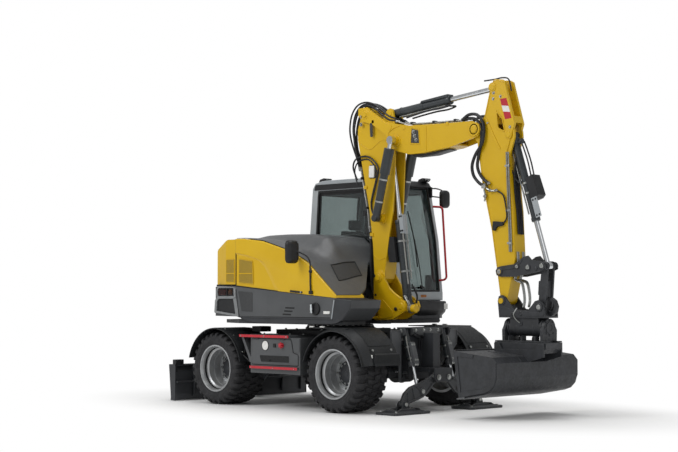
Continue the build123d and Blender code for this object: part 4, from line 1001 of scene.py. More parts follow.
def heightAlong(points, x):
    # straight lines between points, sorted by falling or rising x
    for a, b in zip(points, points[1:]):
        low, high = sorted((a[0], b[0]))
        if low <= x <= high:
            return a[1] + (b[1] - a[1]) * (x - a[0]) / (b[0] - a[0])
    return points[-1][1] if abs(x - points[-1][0]) < abs(x - points[0][0]) else points[0][1]


coverLook = {"right": -1096, "left": 165, "back": -1528, "rows": 34, "columns": 44}
coverEdge = [(-1530, 2126), (-1380, 2125), (-1020, 2087), (-505, 1947), (-205, 1807), (294, 1395)]
coverRise = [(-1530, 2174), (-1200, 2180), (-800, 2172), (-480, 2130), (-330, 2010), (-205, 1840), (294, 1395)]
coverFrontLine = [(-1096, 286), (-700, 286), (-500, 190), (-340, 50), (-90, -170), (165, -180)]


def onSlope(x, y, up):
    # a point above the cover, which rises from its right edge to its middle
    t = min(max((y + 800) / 330, 0), 1)
    lift = t * t * (3 - 2 * t)
    return (x, y, heightAlong(coverEdge, x) * (1 - lift) + heightAlong(coverRise, x) * lift + up)


rings = []
for k in range(coverLook["rows"] + 1):
    y = coverLook["right"] + (coverLook["left"] - coverLook["right"]) * k / coverLook["rows"]
    run = (heightAlong(coverFrontLine, y) - coverLook["back"]) / coverLook["columns"]
    deep = 5 if y < -hoodLook["inner"] else 26
    top = [onSlope(coverLook["back"] + run * i, y, 3 if k else 0) for i in range(coverLook["columns"] + 1)]
    rings.append(top + [(x, yy, z - deep) for x, yy, z in reversed(top)])
addLayers(rings)
cover = makePiece("topCover", "anthraciteEnamel", "upper", sharp=28)
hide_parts("side_cover")


def addSlopePatch(corners, up, thick, steps=8):
    # a panel that lies on the slope, between four corners in the plan
    a, b, c, d = [Vector(p) for p in corners]
    rings = []
    for i in range(steps + 1):
        s = i / steps
        first, last = a.lerp(d, s), b.lerp(c, s)
        row = [first.lerp(last, j / steps) for j in range(steps + 1)]
        rings.append([onSlope(p.x, p.y, up) for p in row] + [onSlope(p.x, p.y, up - thick) for p in reversed(row)])
    addLayers(rings)


intake = [(-150, -765), (-168, -330), (20, -400), (84, -860)]
addSlopePatch(intake, 5, 4)
makePiece("coverIntake", "meshBlack", "upper", bevel=1)
for a, b in zip(intake, intake[1:] + intake[:1]):
    line = [onSlope(a[0] + (b[0] - a[0]) * s / 6, a[1] + (b[1] - a[1]) * s / 6, 7) for s in range(7)]
    addTube(line, 7, sides=6, steps=1)
makePiece("intakeFrame", "sealRubber", "upper")
# a dark sheet closes the bay behind the boom bracket as painted shade of the hollow, and the lip over it
addLayers([[(-178, -60, z), (-186, -100, z), (40, -366, z), (178, -520, z), (270, -640, z), (258, -646, z),
            (166, -526, z), (28, -372, z), (-196, -104, z), (-190, -60, z)] for z in (1215, 1395)])
addBox((-1500, -330), (-620, 130), (1700, 1770), radius=20)
makePiece("bayShadeWall", "trimPlastic", "upper", bevel=2)
for k in range(5):
    y = -150 - 90 * k
    x = heightAlong(coverFrontLine, y) - 60
    addBar((x - 330, y, 1420 + 18 * k), (x - 12, y, 1400 + 16 * k), 34 - 4 * k, sides=12)
addTube([(-300, -560, 1500), (-160, -480, 1530), (-90, -330, 1500), (-200, -180, 1440)], 15)
addTube([(-300, -500, 1420), (-120, -420, 1460), (-110, -280, 1430), (-220, -130, 1380)], 13)
makePiece("bayHoses", "hoseRubber", "upper")
addPlate([(-1452, 1128), (-1424, 1100), (-1300, 1072), (-1124, 1046), (-560, 1046), (236, 1053), (330, 1072),
          (398, 1104), (396, 1122), (240, 1116)], "y", -1118, -1100, radius=20)
addBox((-1400, 390), (-1102, -640), (1090, 1100))
makePiece("lowerSkirt", "chassisEnamel", "upper", bevel=4)
addPlate([(-1440, 1126), (-40, 1116), (-20, 1050), (-60, 1046), (-1400, 1050)], "y", 1100, 1122, radius=16)
makePiece("leftSkirt", "chassisEnamel", "upper", bevel=4)


def addDome(x0, x1, y, z, radius):
    # a rounded mirror housing, open side at x0, domed towards x1
    rings = []
    for t, shrink in ((0, 0), (0.45, 0), (0.75, 10), (0.93, 30), (1, 55)):
        outline = [(y[0] + shrink, z[0] + shrink), (y[1] - shrink, z[0] + shrink), (y[1] - shrink, z[1] - shrink),
                   (y[0] + shrink, z[1] - shrink)]
        ring = rounded(outline, max(radius - shrink * 0.5, 12), 5)
        rings.append([(x0 + (x1 - x0) * t, p[0], p[1]) for p in ring])
    addLayers(rings)


addDome(-366, -292, (-1338, -1150), (1784, 2068), 62)
addDome(-76, -14, (1168, 1336), (2546, 2780), 60)
addTube([(-300, -1200, 1930), (-270, -1170, 1915), (-190, -1140, 1870), (-140, -1136, 1800), (-136, -1134, 1690),
         (-134, -1134, 1560), (-128, -1134, 1440)], 10, sides=10)
addLathe((-137, -1120, 1686), (0, -1, 0), [(24, 0), (24, 8), (20, 20), (10, 28), (0, 30)], 20)
addBox((-156, -100), (-1142, -1117), (1408, 1452), radius=10)
addTube([(-170, 1100, 2800), (-110, 1150, 2800), (-60, 1215, 2770), (-52, 1230, 2720)], 9, sides=10)
addTube([(-170, 1100, 2700), (-110, 1160, 2690), (-60, 1240, 2680)], 9, sides=10)
addBox((-196, -146), (1084, 1112), (2680, 2820), radius=8)
mirror = makePiece("mirrorHousings", "trimPlastic", "upper", bevel=2)
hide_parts("mirrors")
addPlate([(-1326, 1796), (-1162, 1796), (-1162, 2056), (-1326, 2056)], "x", -369, -364, radius=52)
addPlate([(1180, 2558), (1324, 2558), (1324, 2768), (1180, 2768)], "x", -79, -74, radius=50)
makePiece("mirrorGlass", "mirrorSilver", "upper")
print("covers and mirrors built")

# ---- cab: seals, visor, lamps, wiper and the driver's place

rightWindow = [(-1400, 1900), (-1340, 2780), (-400, 2780), (-275, 2120), (-170, 1560), (-600, 1560), (-800, 1800)]
doorWindow = [(-850, 1480), (-850, 2745), (-345, 2745), (-205, 2112), (-145, 1480)]
rearQuarter = [(-1400, 1900), (-1340, 2780), (-980, 2780), (-980, 1900)]


def frontX(z):
    return heightAlong([(1330, 10), (1420, 10), (2120, -60), (2870, -215), (2900, -300)], z)


addFrame(rightWindow, "y", 166, 172, 30, radius=50)
addFrame(rightWindow, "y", 182, 188, 62, radius=50)
addFrame([(-905, 1398), (-905, 2802), (-300, 2802), (-150, 2120), (-80, 1398)], "y", 1124, 1132, 11, radius=30)
addFrame(doorWindow, "y", 1126, 1134, 24, radius=40)
addFrame(rearQuarter, "y", 1126, 1134, 24, radius=40)
addBox((-1360, -1280), (1108, 1112), (1900, 2780))
for y in (362, 1068):
    addTube([(frontX(z) - 4, y, z) for z in (1452, 1700, 2120, 2400, 2650, 2800)], 13)
for z in (1452, 2800):
    addBar((frontX(z) - 4, 362, z), (frontX(z) - 4, 1068, z), 13, sides=8)
for y in (252, 1048):
    addBar((-1506, y, 2004), (-1448, y, 2736), 12, sides=8)
for z, x in ((2004, -1506), (2736, -1448)):
    addBar((x, 252, z), (x, 1048, z), 12, sides=8)
makePiece("cabSeals", "sealRubber", "upper", bevel=1)
# the roof: black band and visor, pale rolled edge, hatch
addPlate([(-1412, 2788), (-1386, 2862), (-364, 2862), (-396, 2788)], "y", 162, 171, radius=10)
addPlate([(-1412, 2806), (-1386, 2862), (-300, 2862), (-262, 2806)], "y", 1129, 1137, radius=10)
addPlate([(-330, 2898), (-210, 2882), (-150, 2812), (-190, 2806), (-232, 2868), (-330, 2880)], "y", 440, 1100,
         radius=8)
addFrame([(-1000, 290), (-500, 290), (-500, 1010), (-1000, 1010)], "z", 2896, 2912, 30, radius=50)
makePiece("cabVisor", "trimPlastic", "upper", bevel=3)
for y in (196, 1104):
    addTube([(-1400, y, 2870), (-1250, y, 2901), (-800, y, 2904), (-420, y, 2901)], 11)
addTube([(-1404, 190, 2866), (-1404, 650, 2872), (-1404, 1104, 2866)], 11)
addPlate([(-1490, 1340), (-1470, 1700), (-1455, 1700), (-1470, 1340)], "y", 163, 171)
makePiece("cabRails", "pillarEnamel", "upper", bevel=2)
# work lamps: wedge housings on the roof, two in front and one behind
roofLamps = ((-196, 1010, 2884), (-196, 470, 2884), (-1330, 300, 2904))
for x, y, z in roofLamps:
    addPlate([(x - 70, z - 6), (x + 22, z + 2), (x + 52, z + 26), (x + 56, z + 46), (x + 20, z + 50),
              (x - 50, z + 34)], "y", y - 62, y + 62, radius=8)
    addBar((x - 40, y, z - 20), (x - 30, y, z + 6), 12)
makePiece("cabLamps", "trimPlastic", "upper", bevel=3)
for x, y, z in roofLamps:
    addPlate([(x + 24, z + 6), (x + 51, z + 27), (x + 54, z + 43), (x + 49, z + 43), (x + 20, z + 10)], "y", y - 52,
             y + 52)
makePiece("cabLampBowls", "lampReflector", "upper")
for x, y, z in roofLamps:
    addPlate([(x + 30, z + 6), (x + 57, z + 27), (x + 60, z + 44), (x + 56, z + 44), (x + 53, z + 28),
              (x + 26, z + 8)], "y", y - 54, y + 54)
makePiece("cabLampGlass", "lampGlass", "upper", bevel=1)
# wiper, door handle and hinges
addCap((frontX(1500) - 6, 720, 1500), (1, 0, 0.1), 26, 18, 8, chamfer=12, sides=18)
addTube([(frontX(1500) + 20, 720, 1500), (frontX(1800) + 22, 690, 1800), (frontX(2120) + 20, 640, 2120)], 7)
addTube([(frontX(1760) + 13, 668, 1760), (frontX(2120) + 13, 640, 2120), (frontX(2480) + 13, 600, 2480)], 9, sides=6)
addPlate([(-300, 1500), (-180, 1500), (-186, 1660), (-300, 1660)], "y", 1128, 1140, radius=20)
addBox((-285, -215), (1138, 1158), (1580, 1604), radius=8)
for z in (1560, 1660, 2460, 2560):
    addBox((-960, -880), (1128, 1140), (z - 14, z + 14), radius=8)
makePiece("cabTrim", "trimPlastic", "upper", bevel=2)
# pale base below the windscreen with its amber lamp, and the bumper under it
addPlate([(10, 1334), (16, 1342), (16, 1436), (8, 1442)], "y", 260, 1126)
addPlate([(-1500, 1300), (-1496, 1336), (-30, 1336), (-30, 1300)], "y", 1126, 1134, radius=8)
makePiece("cabBase", "pillarEnamel", "upper", bevel=2)
addBox((14, 24), (700, 800), (1372, 1402), radius=6, across="x")
makePiece("cabAmber", "amberLens", "upper", bevel=2)
outline = [(-40, 1128), (60, 1120), (118, 1080), (150, 1000), (160, 900), (160, 560), (140, 470), (70, 420),
           (-40, 416)]
rings = []
for z, shrink in ((1322, 18), (1312, 2), (1230, 0), (1180, 14), (1130, 60)):
    rings.append([(p[0] - shrink * (p[0] > 0), p[1] - shrink * 0.4 * (p[1] > 800), z) for p in rounded(outline, 30)])
addLayers(rings)
makePiece("frontBumper", "trimPlastic", "upper", bevel=3)
addPlate([(1000, 1215), (1072, 1215), (1072, 1290), (1000, 1290)], "x", 118, 150, radius=12)
makePiece("bumperLamp", "whiteLens", "upper", bevel=3)

# steering column and wheel, levers, pedals and dashboard
addTube([(-300, 650, 1400), (-300, 650, 1650), (-330, 650, 1850), (-400, 650, 1950)], 34, sides=12)
ring = [(-430 + 150 * 0.42 * math.sin(t), 650 + 175 * math.cos(t), 1985 + 150 * 0.9 * math.sin(t))
        for t in [2 * math.pi * k / 36 for k in range(36)]]
rings = []
for i, here in enumerate(ring):
    here, ahead = Vector(here), Vector(ring[(i + 1) % 36]) - Vector(ring[i - 1])
    out = (here - Vector((-430, 650, 1985))).normalized()
    up = ahead.normalized().cross(out)
    rings.append([mesh.verts.new(here + (out * math.cos(t) + up * math.sin(t)) * 13)
                  for t in [2 * math.pi * k / 8 for k in range(8)]])
for low, high in zip(rings, rings[1:] + rings[:1]):
    addStrip(low, high)
for t in (0.5, 2.6, 4.7):
    addBar((-420, 650, 1970), (-430 + 60 * math.sin(t), 650 + 165 * math.cos(t), 1985 + 130 * math.sin(t)), 10,
           sides=8)
addLathe((-410, 650, 1960), (-0.9, 0, 0.42), [(45, -10), (45, 14), (30, 26), (0, 28)], 20)
for y in (345, 945):
    addBox((-1010, -560), (y - 46, y + 46), (1755, 1790), radius=16, across="z")
    addLathe((-640, y, 1785), (0.1, 0, 1), [(42, 0), (34, 14), (16, 26), (12, 90), (24, 110), (27, 150), (20, 185),
                                            (0, 192)], 18)
addPlate([(-1400, 1372), (-60, 1372), (-60, 1386), (-1400, 1386)], "y", 220, 1080)
for y in (560, 640, 740):
    addPlate([(-260, 1386), (-180, 1470), (-170, 1464), (-240, 1380)], "y", y - 26, y + 26, radius=5)
addBox((-250, -190), (430, 520), (1860, 2020), radius=14, across="x")
addBar((-200, 400, 1700), (-220, 470, 1880), 12)
makePiece("cabControls", "cabPlastic", "upper", bevel=2)

# driver's seat: two stuffed cushions and a headrest on a moulded shell


cushionLook = {"voxel": 0.006, "quality": 4, "pressure": 4, "frames": 20, "fill": 0.75}


def makeCushion(name, outline, across, start, end, cap):
    # stuffed with cloth under pressure, which moves no point more than cap
    middle = sum((Vector(p) for p in outline), Vector((0, 0))) / len(outline)
    rings = []
    for t, shrink in ((0, 0.9), (0.14, 0.985), (0.5, 1.0), (0.86, 0.985), (1, 0.9)):
        ring = [middle + (p - middle) * shrink for p in rounded(outline, 26, 4)]
        rings.append([lay[across](p, start + (end - start) * t) for p in ring])
    addLayers(rings)
    piece = makePiece(name, "seatCloth", None, sharp=180)
    remesh = piece.modifiers.new("evenMesh", "REMESH")
    remesh.mode, remesh.voxel_size, remesh.use_smooth_shade = "VOXEL", cushionLook["voxel"], True
    bpy.context.view_layer.objects.active = piece
    bpy.ops.object.modifier_apply(modifier="evenMesh")
    before = [v.co.copy() for v in piece.data.vertices]
    cloth = piece.modifiers.new("stuffing", "CLOTH")
    cloth.settings.quality = cushionLook["quality"]
    cloth.settings.use_pressure = True
    cloth.settings.uniform_pressure_force = cushionLook["pressure"]
    cloth.settings.effector_weights.gravity = 0
    cloth.point_cache.frame_start, cloth.point_cache.frame_end = 1, cushionLook["frames"]
    for now in range(1, cushionLook["frames"] + 1):
        scene.frame_set(now)
    swollen = piece.evaluated_get(bpy.context.evaluated_depsgraph_get()).data
    moved = [v.co.copy() for v in swollen.vertices]
    piece.modifiers.remove(cloth)
    for vert, old, new in zip(piece.data.vertices, before, moved):
        step = new - old
        vert.co = old + step * min(1, cap * mm / max(step.length, 1e-9))
    scene.frame_set(1)
    for face in piece.data.polygons:
        face.use_smooth = True
    smooth = piece.modifiers.new("smooth", "SMOOTH")
    smooth.iterations = 4
    soft = piece.modifiers.new("soft", "SUBSURF")
    soft.levels = soft.render_levels = 1
    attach(piece, "upper")
    return piece


seatBase = makeCushion("seatCushion", [(-1070, 436), (-626, 436), (-626, 864), (-1070, 864)], "z", 1612, 1694, 16)
makeCushion("seatBackrest", [(-1110, 1716), (-1036, 1716), (-1084, 2236), (-1146, 2236)], "y", 440, 860, 16)
makeCushion("seatHeadrest", [(-1150, 2262), (-1088, 2262), (-1100, 2400), (-1150, 2400)], "y", 540, 760, 10)
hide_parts("seat")
addPlate([(-1130, 1700), (-1118, 1712), (-1160, 2250), (-1190, 2246), (-1196, 2100), (-1150, 1690)], "y", 452, 848,
         radius=6)
addBox((-1090, -620), (440, 860), (1580, 1612), radius=30, across="z")
for y in (600, 700):
    addBar((-1140, y, 2220), (-1130, y, 2300), 7, sides=10)
for z, wide in ((1400, 190), (1440, 175), (1480, 190), (1520, 175), (1560, 190)):
    addBox((-850 - wide, -850 + wide), (650 - wide, 650 + wide), (z - 20, z + 20), radius=40, across="z")
makePiece("seatShell", "cabPlastic", "upper", bevel=4)
for x in (-990, -850, -710):
    addTube([(x, 452, 1688), (x, 520, 1711), (x, 650, 1714), (x, 780, 1711), (x, 848, 1688)], 3, sides=6)
for z in (1860, 2000, 2120):
    x = heightAlong([(1716, -1036), (2236, -1084)], z) + 12
    addTube([(x - 16, 452, z), (x, 520, z), (x + 2, 650, z), (x, 780, z), (x - 16, 848, z)], 3, sides=6)
makePiece("seatPiping", "sealRubber", "upper")
print("cab built")

# ---- swing bracket and lower boom


def addBoss(x, z, face, r, proud=10):
    # a turned boss with its pin end, standing out of a side face of the boom, on both sides
    for side in (-1, 1):
        addLathe((x, side * face, z), (0, side, 0), [(r, -3), (r, proud - 3), (r - 4, proud), (r * 0.72, proud),
                                                     (r * 0.72, proud - 3), (r * 0.66, proud + 4),
                                                     (r * 0.6, proud + 7), (0, proud + 7)], 28)


addBoss(50, 1618, 130, 62)
addBoss(440, 1262, 130, 72)
for z in (1134, 1236):
    addPlate([(0, -110), (90, -130), (170, -300), (160, -430), (105, -476), (50, -430), (36, -300)], "z", z, z + 3)
# rolled flange along the cheeks' front edge and gussets at their foot
for side in (-1, 1):
    y0, y1 = span(side, 127, 139)
    addTube([(228, side * 118, 1482), (330, side * 118, 1408), (440, side * 118, 1350)], 16)
    addPlate([(-24, 1350), (130, 1345), (300, 1200), (300, 1130), (120, 1104), (60, 1110), (40, 1250)], "y", y0, y1,
             radius=30)
addLathe((0, 0, 1262), (0, 0, 1), [(104, 0), (104, 20), (84, 26), (84, 40), (0, 42)], 32)
addLathe((0, 0, 1086), (0, 0, 1), [(108, 0), (108, 24), (98, 30), (98, 0)], 32)
for x in (486, 566):
    addLathe((x, -64, 1232), (1, 0, 0), [(44, 0), (52, 6), (52, 58), (44, 64), (20, 64), (0, 60)], 24)
makePiece("bracketForms", "yellowEnamel", "swing_bracket", bevel=3, segments=3)
addCap((353, -139, 1227), (0, -1, 0), 24, 6, 10, sides=20)
for x, z in ((-6, 1640), (12, 1400)):
    addLathe((x, -139, z), (0, -1, 0), [(17, 0), (17, 4), (9, 6), (0, 5)], 16)
makePiece("bracketPlugs", "trimPlastic", "swing_bracket")
for x in (532, 556):
    addLathe((x, -64, 1232), (1, 0, 0), [(57, 0), (57, 10), (53, 12), (53, 0)], 24)
for y in (-112, -98, -84):
    addTube([(540, y, 1262), (536, y, 1300), (500, y, 1352), (470, y, 1392)], 7)
addBolt((105, -400, 1130), (0, 0, -1), 26)
makePiece("bracketFittings", "zincPlate", "swing_bracket")

boomBack = [(1560, -62), (1700, -78), (2028, -102), (2471, -163), (3049, -294), (3372, -366), (3480, -372)]


def backX(z):
    return heightAlong(boomBack, z)


# section seams, bosses, and brackets of the pipe clamps
addBoss(92, 2358, 100, 74, proud=8)
for side in (-1, 1):
    addTube([(-52, side * 101, 1900), (40, side * 101, 1840), (160, side * 101, 1870)], 5, sides=6)
    addTube([(-318, side * 101, 3330), (-120, side * 101, 3240), (60, side * 101, 3330), (180, side * 101, 3330)], 5,
            sides=6)
    addLathe((50, side * 100, 1618), (0, side, 0), [(96, -2), (96, 4), (90, 6), (0, 6)], 36)
    for z in (2160, 2760):
        addBox((backX(z) + 6, backX(z) + 60), span(side, 98, 112), (z - 22, z + 22), radius=6)
makePiece("boomForms", "yellowEnamel", "lower_boom", bevel=2)
pipeRow = (-84, -58, -30, 30, 58, 84)
for y in pipeRow:
    addTube([(backX(z) - 16, y, z) for z in (2130, 2300, 2471, 2760, 3000)], 9)
for z in (2120, 2250, 2990):
    for y in pipeRow:
        addLathe((backX(z) - 16, y, z), (-0.2, 0, 1), [(13, -14), (15, -12), (15, 8), (12, 12)], 6)
makePiece("boomPipes", "zincPlate", "lower_boom")
for z in (2180, 2500, 2880):
    addBox((backX(z) - 32, backX(z) - 2), (-104, 104), (z - 16, z + 16), radius=6)
makePiece("pipeClamps", "trimPlastic", "lower_boom", bevel=2)
# hoses from the slewing body up the foot of the boom
for k, y in enumerate(pipeRow):
    addTube([(backX(2125) - 16, y, 2125), (backX(1980) - 26, y, 1980), (-128 - 6 * (k % 2), y, 1800),
             (-136, y * 0.95, 1640), (-118, y * 0.9, 1500), (-90, y * 0.85, 1400)], 13, sides=10)
hose = makePiece("footHoses", "hoseRubber", None)
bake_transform(hose)
for y in (-70, -45, -22, 22, 45, 70):
    addTube([(-92, y, 1408), (-96, y, 1350), (-130, y * 0.9, 1300), (-200, y * 0.8, 1270), (-290, y * 0.7, 1262)], 13,
            sides=10)
hose = makePiece("swingHoses", "hoseRubber", None)
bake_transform(hose)
# the bundle that loops over the knee
outer = [(-311, 3000), (-350, 3110), (-410, 3240), (-462, 3380), (-480, 3530), (-440, 3700), (-340, 3812),
         (-200, 3842), (-60, 3806), (60, 3730), (190, 3640), (330, 3592)]
inner = [(-311, 3000), (-345, 3120), (-386, 3260), (-408, 3400), (-404, 3540), (-362, 3680), (-270, 3780),
         (-150, 3790), (-20, 3722), (90, 3640), (200, 3578), (330, 3562)]
kneeRow = (-96, -80, -62, -44, -26, 26, 44, 62, 80, 96)
for k, y in enumerate(kneeRow):
    t = (0.0, 0.8, 0.35, 1.0, 0.15, 0.6, 0.2, 0.9, 0.4, 0.7)[k]
    wave = (6, -5, 8, -8, 4, -6, 7, -4, 5, -7)[k]
    line = []
    for i, (a, b) in enumerate(zip(outer, inner)):
        sway = wave * math.sin(i * 0.9)
        line.append((a[0] * (1 - t) + b[0] * t, y + sway, a[1] * (1 - t) + b[1] * t))
    addTube(line, 13 if k % 2 else 11, sides=10, steps=5)
hose = makePiece("kneeHoses", "hoseRubber", None)
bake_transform(hose)
for k, y in enumerate(kneeRow):
    addBar((-305, y, 2976), (-318, y, 3026), 15 if k % 2 else 13, sides=6)
makePiece("hoseEndsLower", "zincPlate", "lower_boom")
# the hoses that ring the adjusting rams' eyes, and the pale lamp on the boom's side
for side in (-1, 1):
    addTube([(-330, side * 118, 2860), (-396, side * 122, 3010), (-372, side * 124, 3102), (-291, side * 124, 3144),
             (-145, side * 124, 3148), (-29, side * 124, 3085), (42, side * 124, 2990), (38, side * 124, 2890),
             (-20, side * 122, 2720), (-80, side * 120, 2560), (-60, side * 122, 2440), (20, side * 150, 2400)], 11,
            sides=10)
    addTube([(-330, side * 112, 2800), (-380, side * 112, 2960), (-350, side * 110, 3060), (-280, side * 108, 3106),
             (-150, side * 108, 3112), (-60, side * 108, 3050), (0, side * 108, 2960), (-6, side * 108, 2860),
             (-60, side * 108, 2700), (-100, side * 108, 2560)], 9)
makePiece("ringHoses", "hoseRubber", "lower_boom")
for side in (-1, 1):
    y0, y1 = span(side, 99, 128)
    addPlate([(-120, 2880), (-30, 2876), (-26, 3026), (-116, 3030)], "y", y0, y1, radius=16)
makePiece("boomLamp", "whiteLens", "lower_boom", bevel=6)
for side in (-1, 1):
    y0, y1 = span(side, 97, 108)
    addPlate([(-130, 2870), (-20, 2866), (-16, 3036), (-126, 3040)], "y", y0, y1, radius=18)
    addPlate([(-240, 2400), (-190, 2394), (-196, 2470), (-232, 2474)], "y", y0, y1, radius=8)
makePiece("boomLampBase", "trimPlastic", "lower_boom", bevel=2)

# ---- lifting ram and adjusting rams


def alongRam(ram, distance, y=0.0, off=0.0):
    # a point beside a ram: distance from its foot along it, and off to its front
    foot, eye = ram
    way = Vector((eye[0] - foot[0], 0, eye[1] - foot[1])).normalized()
    side = Vector((way.z, 0, -way.x))
    return Vector((foot[0], y, foot[1])) + way * distance + side * off


def ramWay(ram):
    return alongRam(ram, 1) - alongRam(ram, 0)


def addGland(ram, at, r, y=0.0):
    addLathe(alongRam(ram, at, y), ramWay(ram), [(r, -46), (r + 7, -42), (r + 7, -8), (r + 3, 0), (r - 14, 2),
                                                 (r - 14, -46)], 28, closed=True)


# each ram: where its foot and its eye are pinned
liftRam, adjustRam = ((440, 1262), (165, 3220)), ((92, 2358), (350, 3313))
addGland(liftRam, 1082, 55)
for d in (130, 620):
    addLathe(alongRam(liftRam, d), ramWay(liftRam), [(55, 0), (60, 3), (60, 18), (55, 21)], 28, closed=True)
makePiece("liftGland", "ramEnamel", "lift_barrel")
for y, places in ((-34, (240, 500, 800, 1010)), (34, (330, 600, 900, 1150))):
    addTube([alongRam(liftRam, d, y, 66) for d in places], 9)
for d in (420, 800):
    addLathe(alongRam(liftRam, d), ramWay(liftRam), [(56, 0), (61, 1), (61, 22), (56, 23)], 28, closed=True)
    for y in (-34, 34):
        addBolt(alongRam(liftRam, d + 11, y, 76), (1, 0, 0.1), 16)
makePiece("liftPipes", "zincPlate", "lift_barrel")
a, b = alongRam(liftRam, 560, 0, -78), alongRam(liftRam, 880, 0, -78)
addLayers([[(a.x - 88, y, a.z), (a.x + 34, y, a.z), (b.x + 34, y, b.z), (b.x - 70, y, b.z), (b.x - 88, y, b.z - 30)]
           for y in (-92, -84, 84, 92)])
makePiece("liftGuard", "trimPlastic", "lift_barrel", bevel=5)
a, b = alongRam(liftRam, 900, 0, 62), alongRam(liftRam, 1140, 0, 62)
addLayers([[(a.x, y, a.z), (a.x + 60, y, a.z + 8), (b.x + 60, y, b.z + 8), (b.x, y, b.z)] for y in (-76, -66)])
addLayers([[(a.x + 6, y, a.z), (a.x + 10, y, a.z), (b.x + 10, y, b.z), (b.x + 6, y, b.z)] for y in (-76, 60)])
makePiece("liftPlate", "pillarEnamel", "lift_barrel", bevel=2)
for d in (930, 1110):
    for off in (76, 104):
        addBolt(alongRam(liftRam, d, -76, off), (0, -1, 0), 13)
makePiece("liftPlateBolts", "sealRubber", "lift_barrel")
for y in (-78, 78):
    addTube([alongRam(liftRam, 262, y * 0.4, 66), alongRam(liftRam, 170, y * 0.7, 96), alongRam(liftRam, 90, y, 90),
             alongRam(liftRam, 10, y, 40), alongRam(liftRam, -20, y * 1.05, -30)], 12, sides=10)
makePiece("liftHoses", "hoseRubber", "lift_barrel")
for y in (-215, 215):
    addGland(adjustRam, 642, 50, y)
    side = -1 if y < 0 else 1
    addCap((92, y + side * 34, 2358), (0, side, 0), 44, 8, 10)
    addBox((112, 152), (y - 22, y + 22), (2408, 2462), radius=8)
makePiece("adjustGlands", "ramEnamel", "adjust_barrels", bevel=1)
for y in (-215, 215):
    addTube([alongRam(adjustRam, d, y, -60) for d in (70, 250, 450, 590)], 8)
    for d in (200, 480):
        addLathe(alongRam(adjustRam, d, y), ramWay(adjustRam), [(51, 0), (55, 1), (55, 20), (51, 21)], 24,
                 closed=True)
makePiece("adjustPipes", "zincPlate", "adjust_barrels")
# rod guards: open shells that travel with the rods over the barrels
for y in (-215, 215):
    rings = []
    for d in (560, 620, 760, 880):
        turns = [math.radians(-140 + 280 * k / 20) for k in range(21)]
        arcs = [(r, t) for r, run in ((64, turns), (60, turns[::-1])) for t in run]
        rings.append([alongRam(adjustRam, d, y + r * math.sin(t), r * math.cos(t)) for r, t in arcs])
    addLayers(rings)
    addLathe(alongRam(adjustRam, 874, y), ramWay(adjustRam), [(27, 0), (64, 0), (64, 6), (57, 12), (27, 12)], 32,
             closed=True)
makePiece("rodGuards", "ramEnamel", "adjust_rods", bevel=1)
print("bracket, lower boom and its rams built")

# ---- upper boom

addBoss(-180, 3685, 130, 66)
addBoss(350, 3313, 130, 78)
addBoss(1620, 3360, 130, 70, proud=12)
for side in (-1, 1):
    y0, y1 = span(side, 128, 136)
    # the doubling plate round the knee with its weld, and the box for the ram's valve
    addPlate([(-276, 3740), (-160, 3758), (-110, 3722), (160, 3556), (300, 3502), (236, 3430), (232, 3300),
              (180, 3400), (-40, 3540), (-230, 3600), (-290, 3680)], "y", y0, y1, radius=30)
    addTube([(228, side * 133, 3290), (226, side * 133, 3410), (300, side * 133, 3462), (420, side * 133, 3498)], 6,
            sides=6)
    addFrame([(592, 3252), (612, 3466), (742, 3436), (758, 3240)], "y", y0, 146 if side > 0 else y1, 12)
    addTube([(860, side * 131, 3140), (860, side * 131, 3300), (860, side * 131, 3462)], 4, sides=6)
    for x in (-60, 470, 1180):
        top = 3480 if x > 0 else 3600
        addPlate([(x, top), (x + 40, top), (x + 40, top - 40), (x, top - 40)], "y", y0, y1, radius=8)
makePiece("upperForms", "yellowEnamel", "upper_boom", bevel=2)
for side in (-1, 1):
    addPlate([(-92, 3566), (-46, 3564), (-40, 3386), (-82, 3390)], "y", *span(side, 133, 138), radius=18)
    addPlate([(622, 3440), (728, 3414), (742, 3256), (610, 3268)], "y", *span(side, 129, 134), radius=10)
makePiece("upperSlots", "meshBlack", "upper_boom")
for side in (-1, 1):
    for x, z in ((-240, 3660), (-246, 3560), (650, 3400), (694, 3300), (670, 3350)):
        addBolt((x, side * 134, z), (0, side, 0), 26)
for y in (-104, -84, -64, 64, 84, 104):
    addTube([(330, y, 3552 + abs(y) * 0.1), (500, y, 3516), (760, y, 3500), (1082, y, 3492), (1340, y, 3488),
             (1420, y, 3486)], 9)
    for x, z in ((352, 3556), (1404, 3487)):
        addLathe((x, y, z), (1, 0, -0.15), [(13, -18), (15, -16), (15, 6), (12, 10)], 6)
makePiece("upperPipes", "zincPlate", "upper_boom")
for x, z in ((600, 3500), (960, 3486), (1300, 3480)):
    for side in (-1, 1):
        addBox((x - 18, x + 18), span(side, 52, 116), (z, z + 30), radius=6)
makePiece("upperClamps", "trimPlastic", "upper_boom", bevel=2)
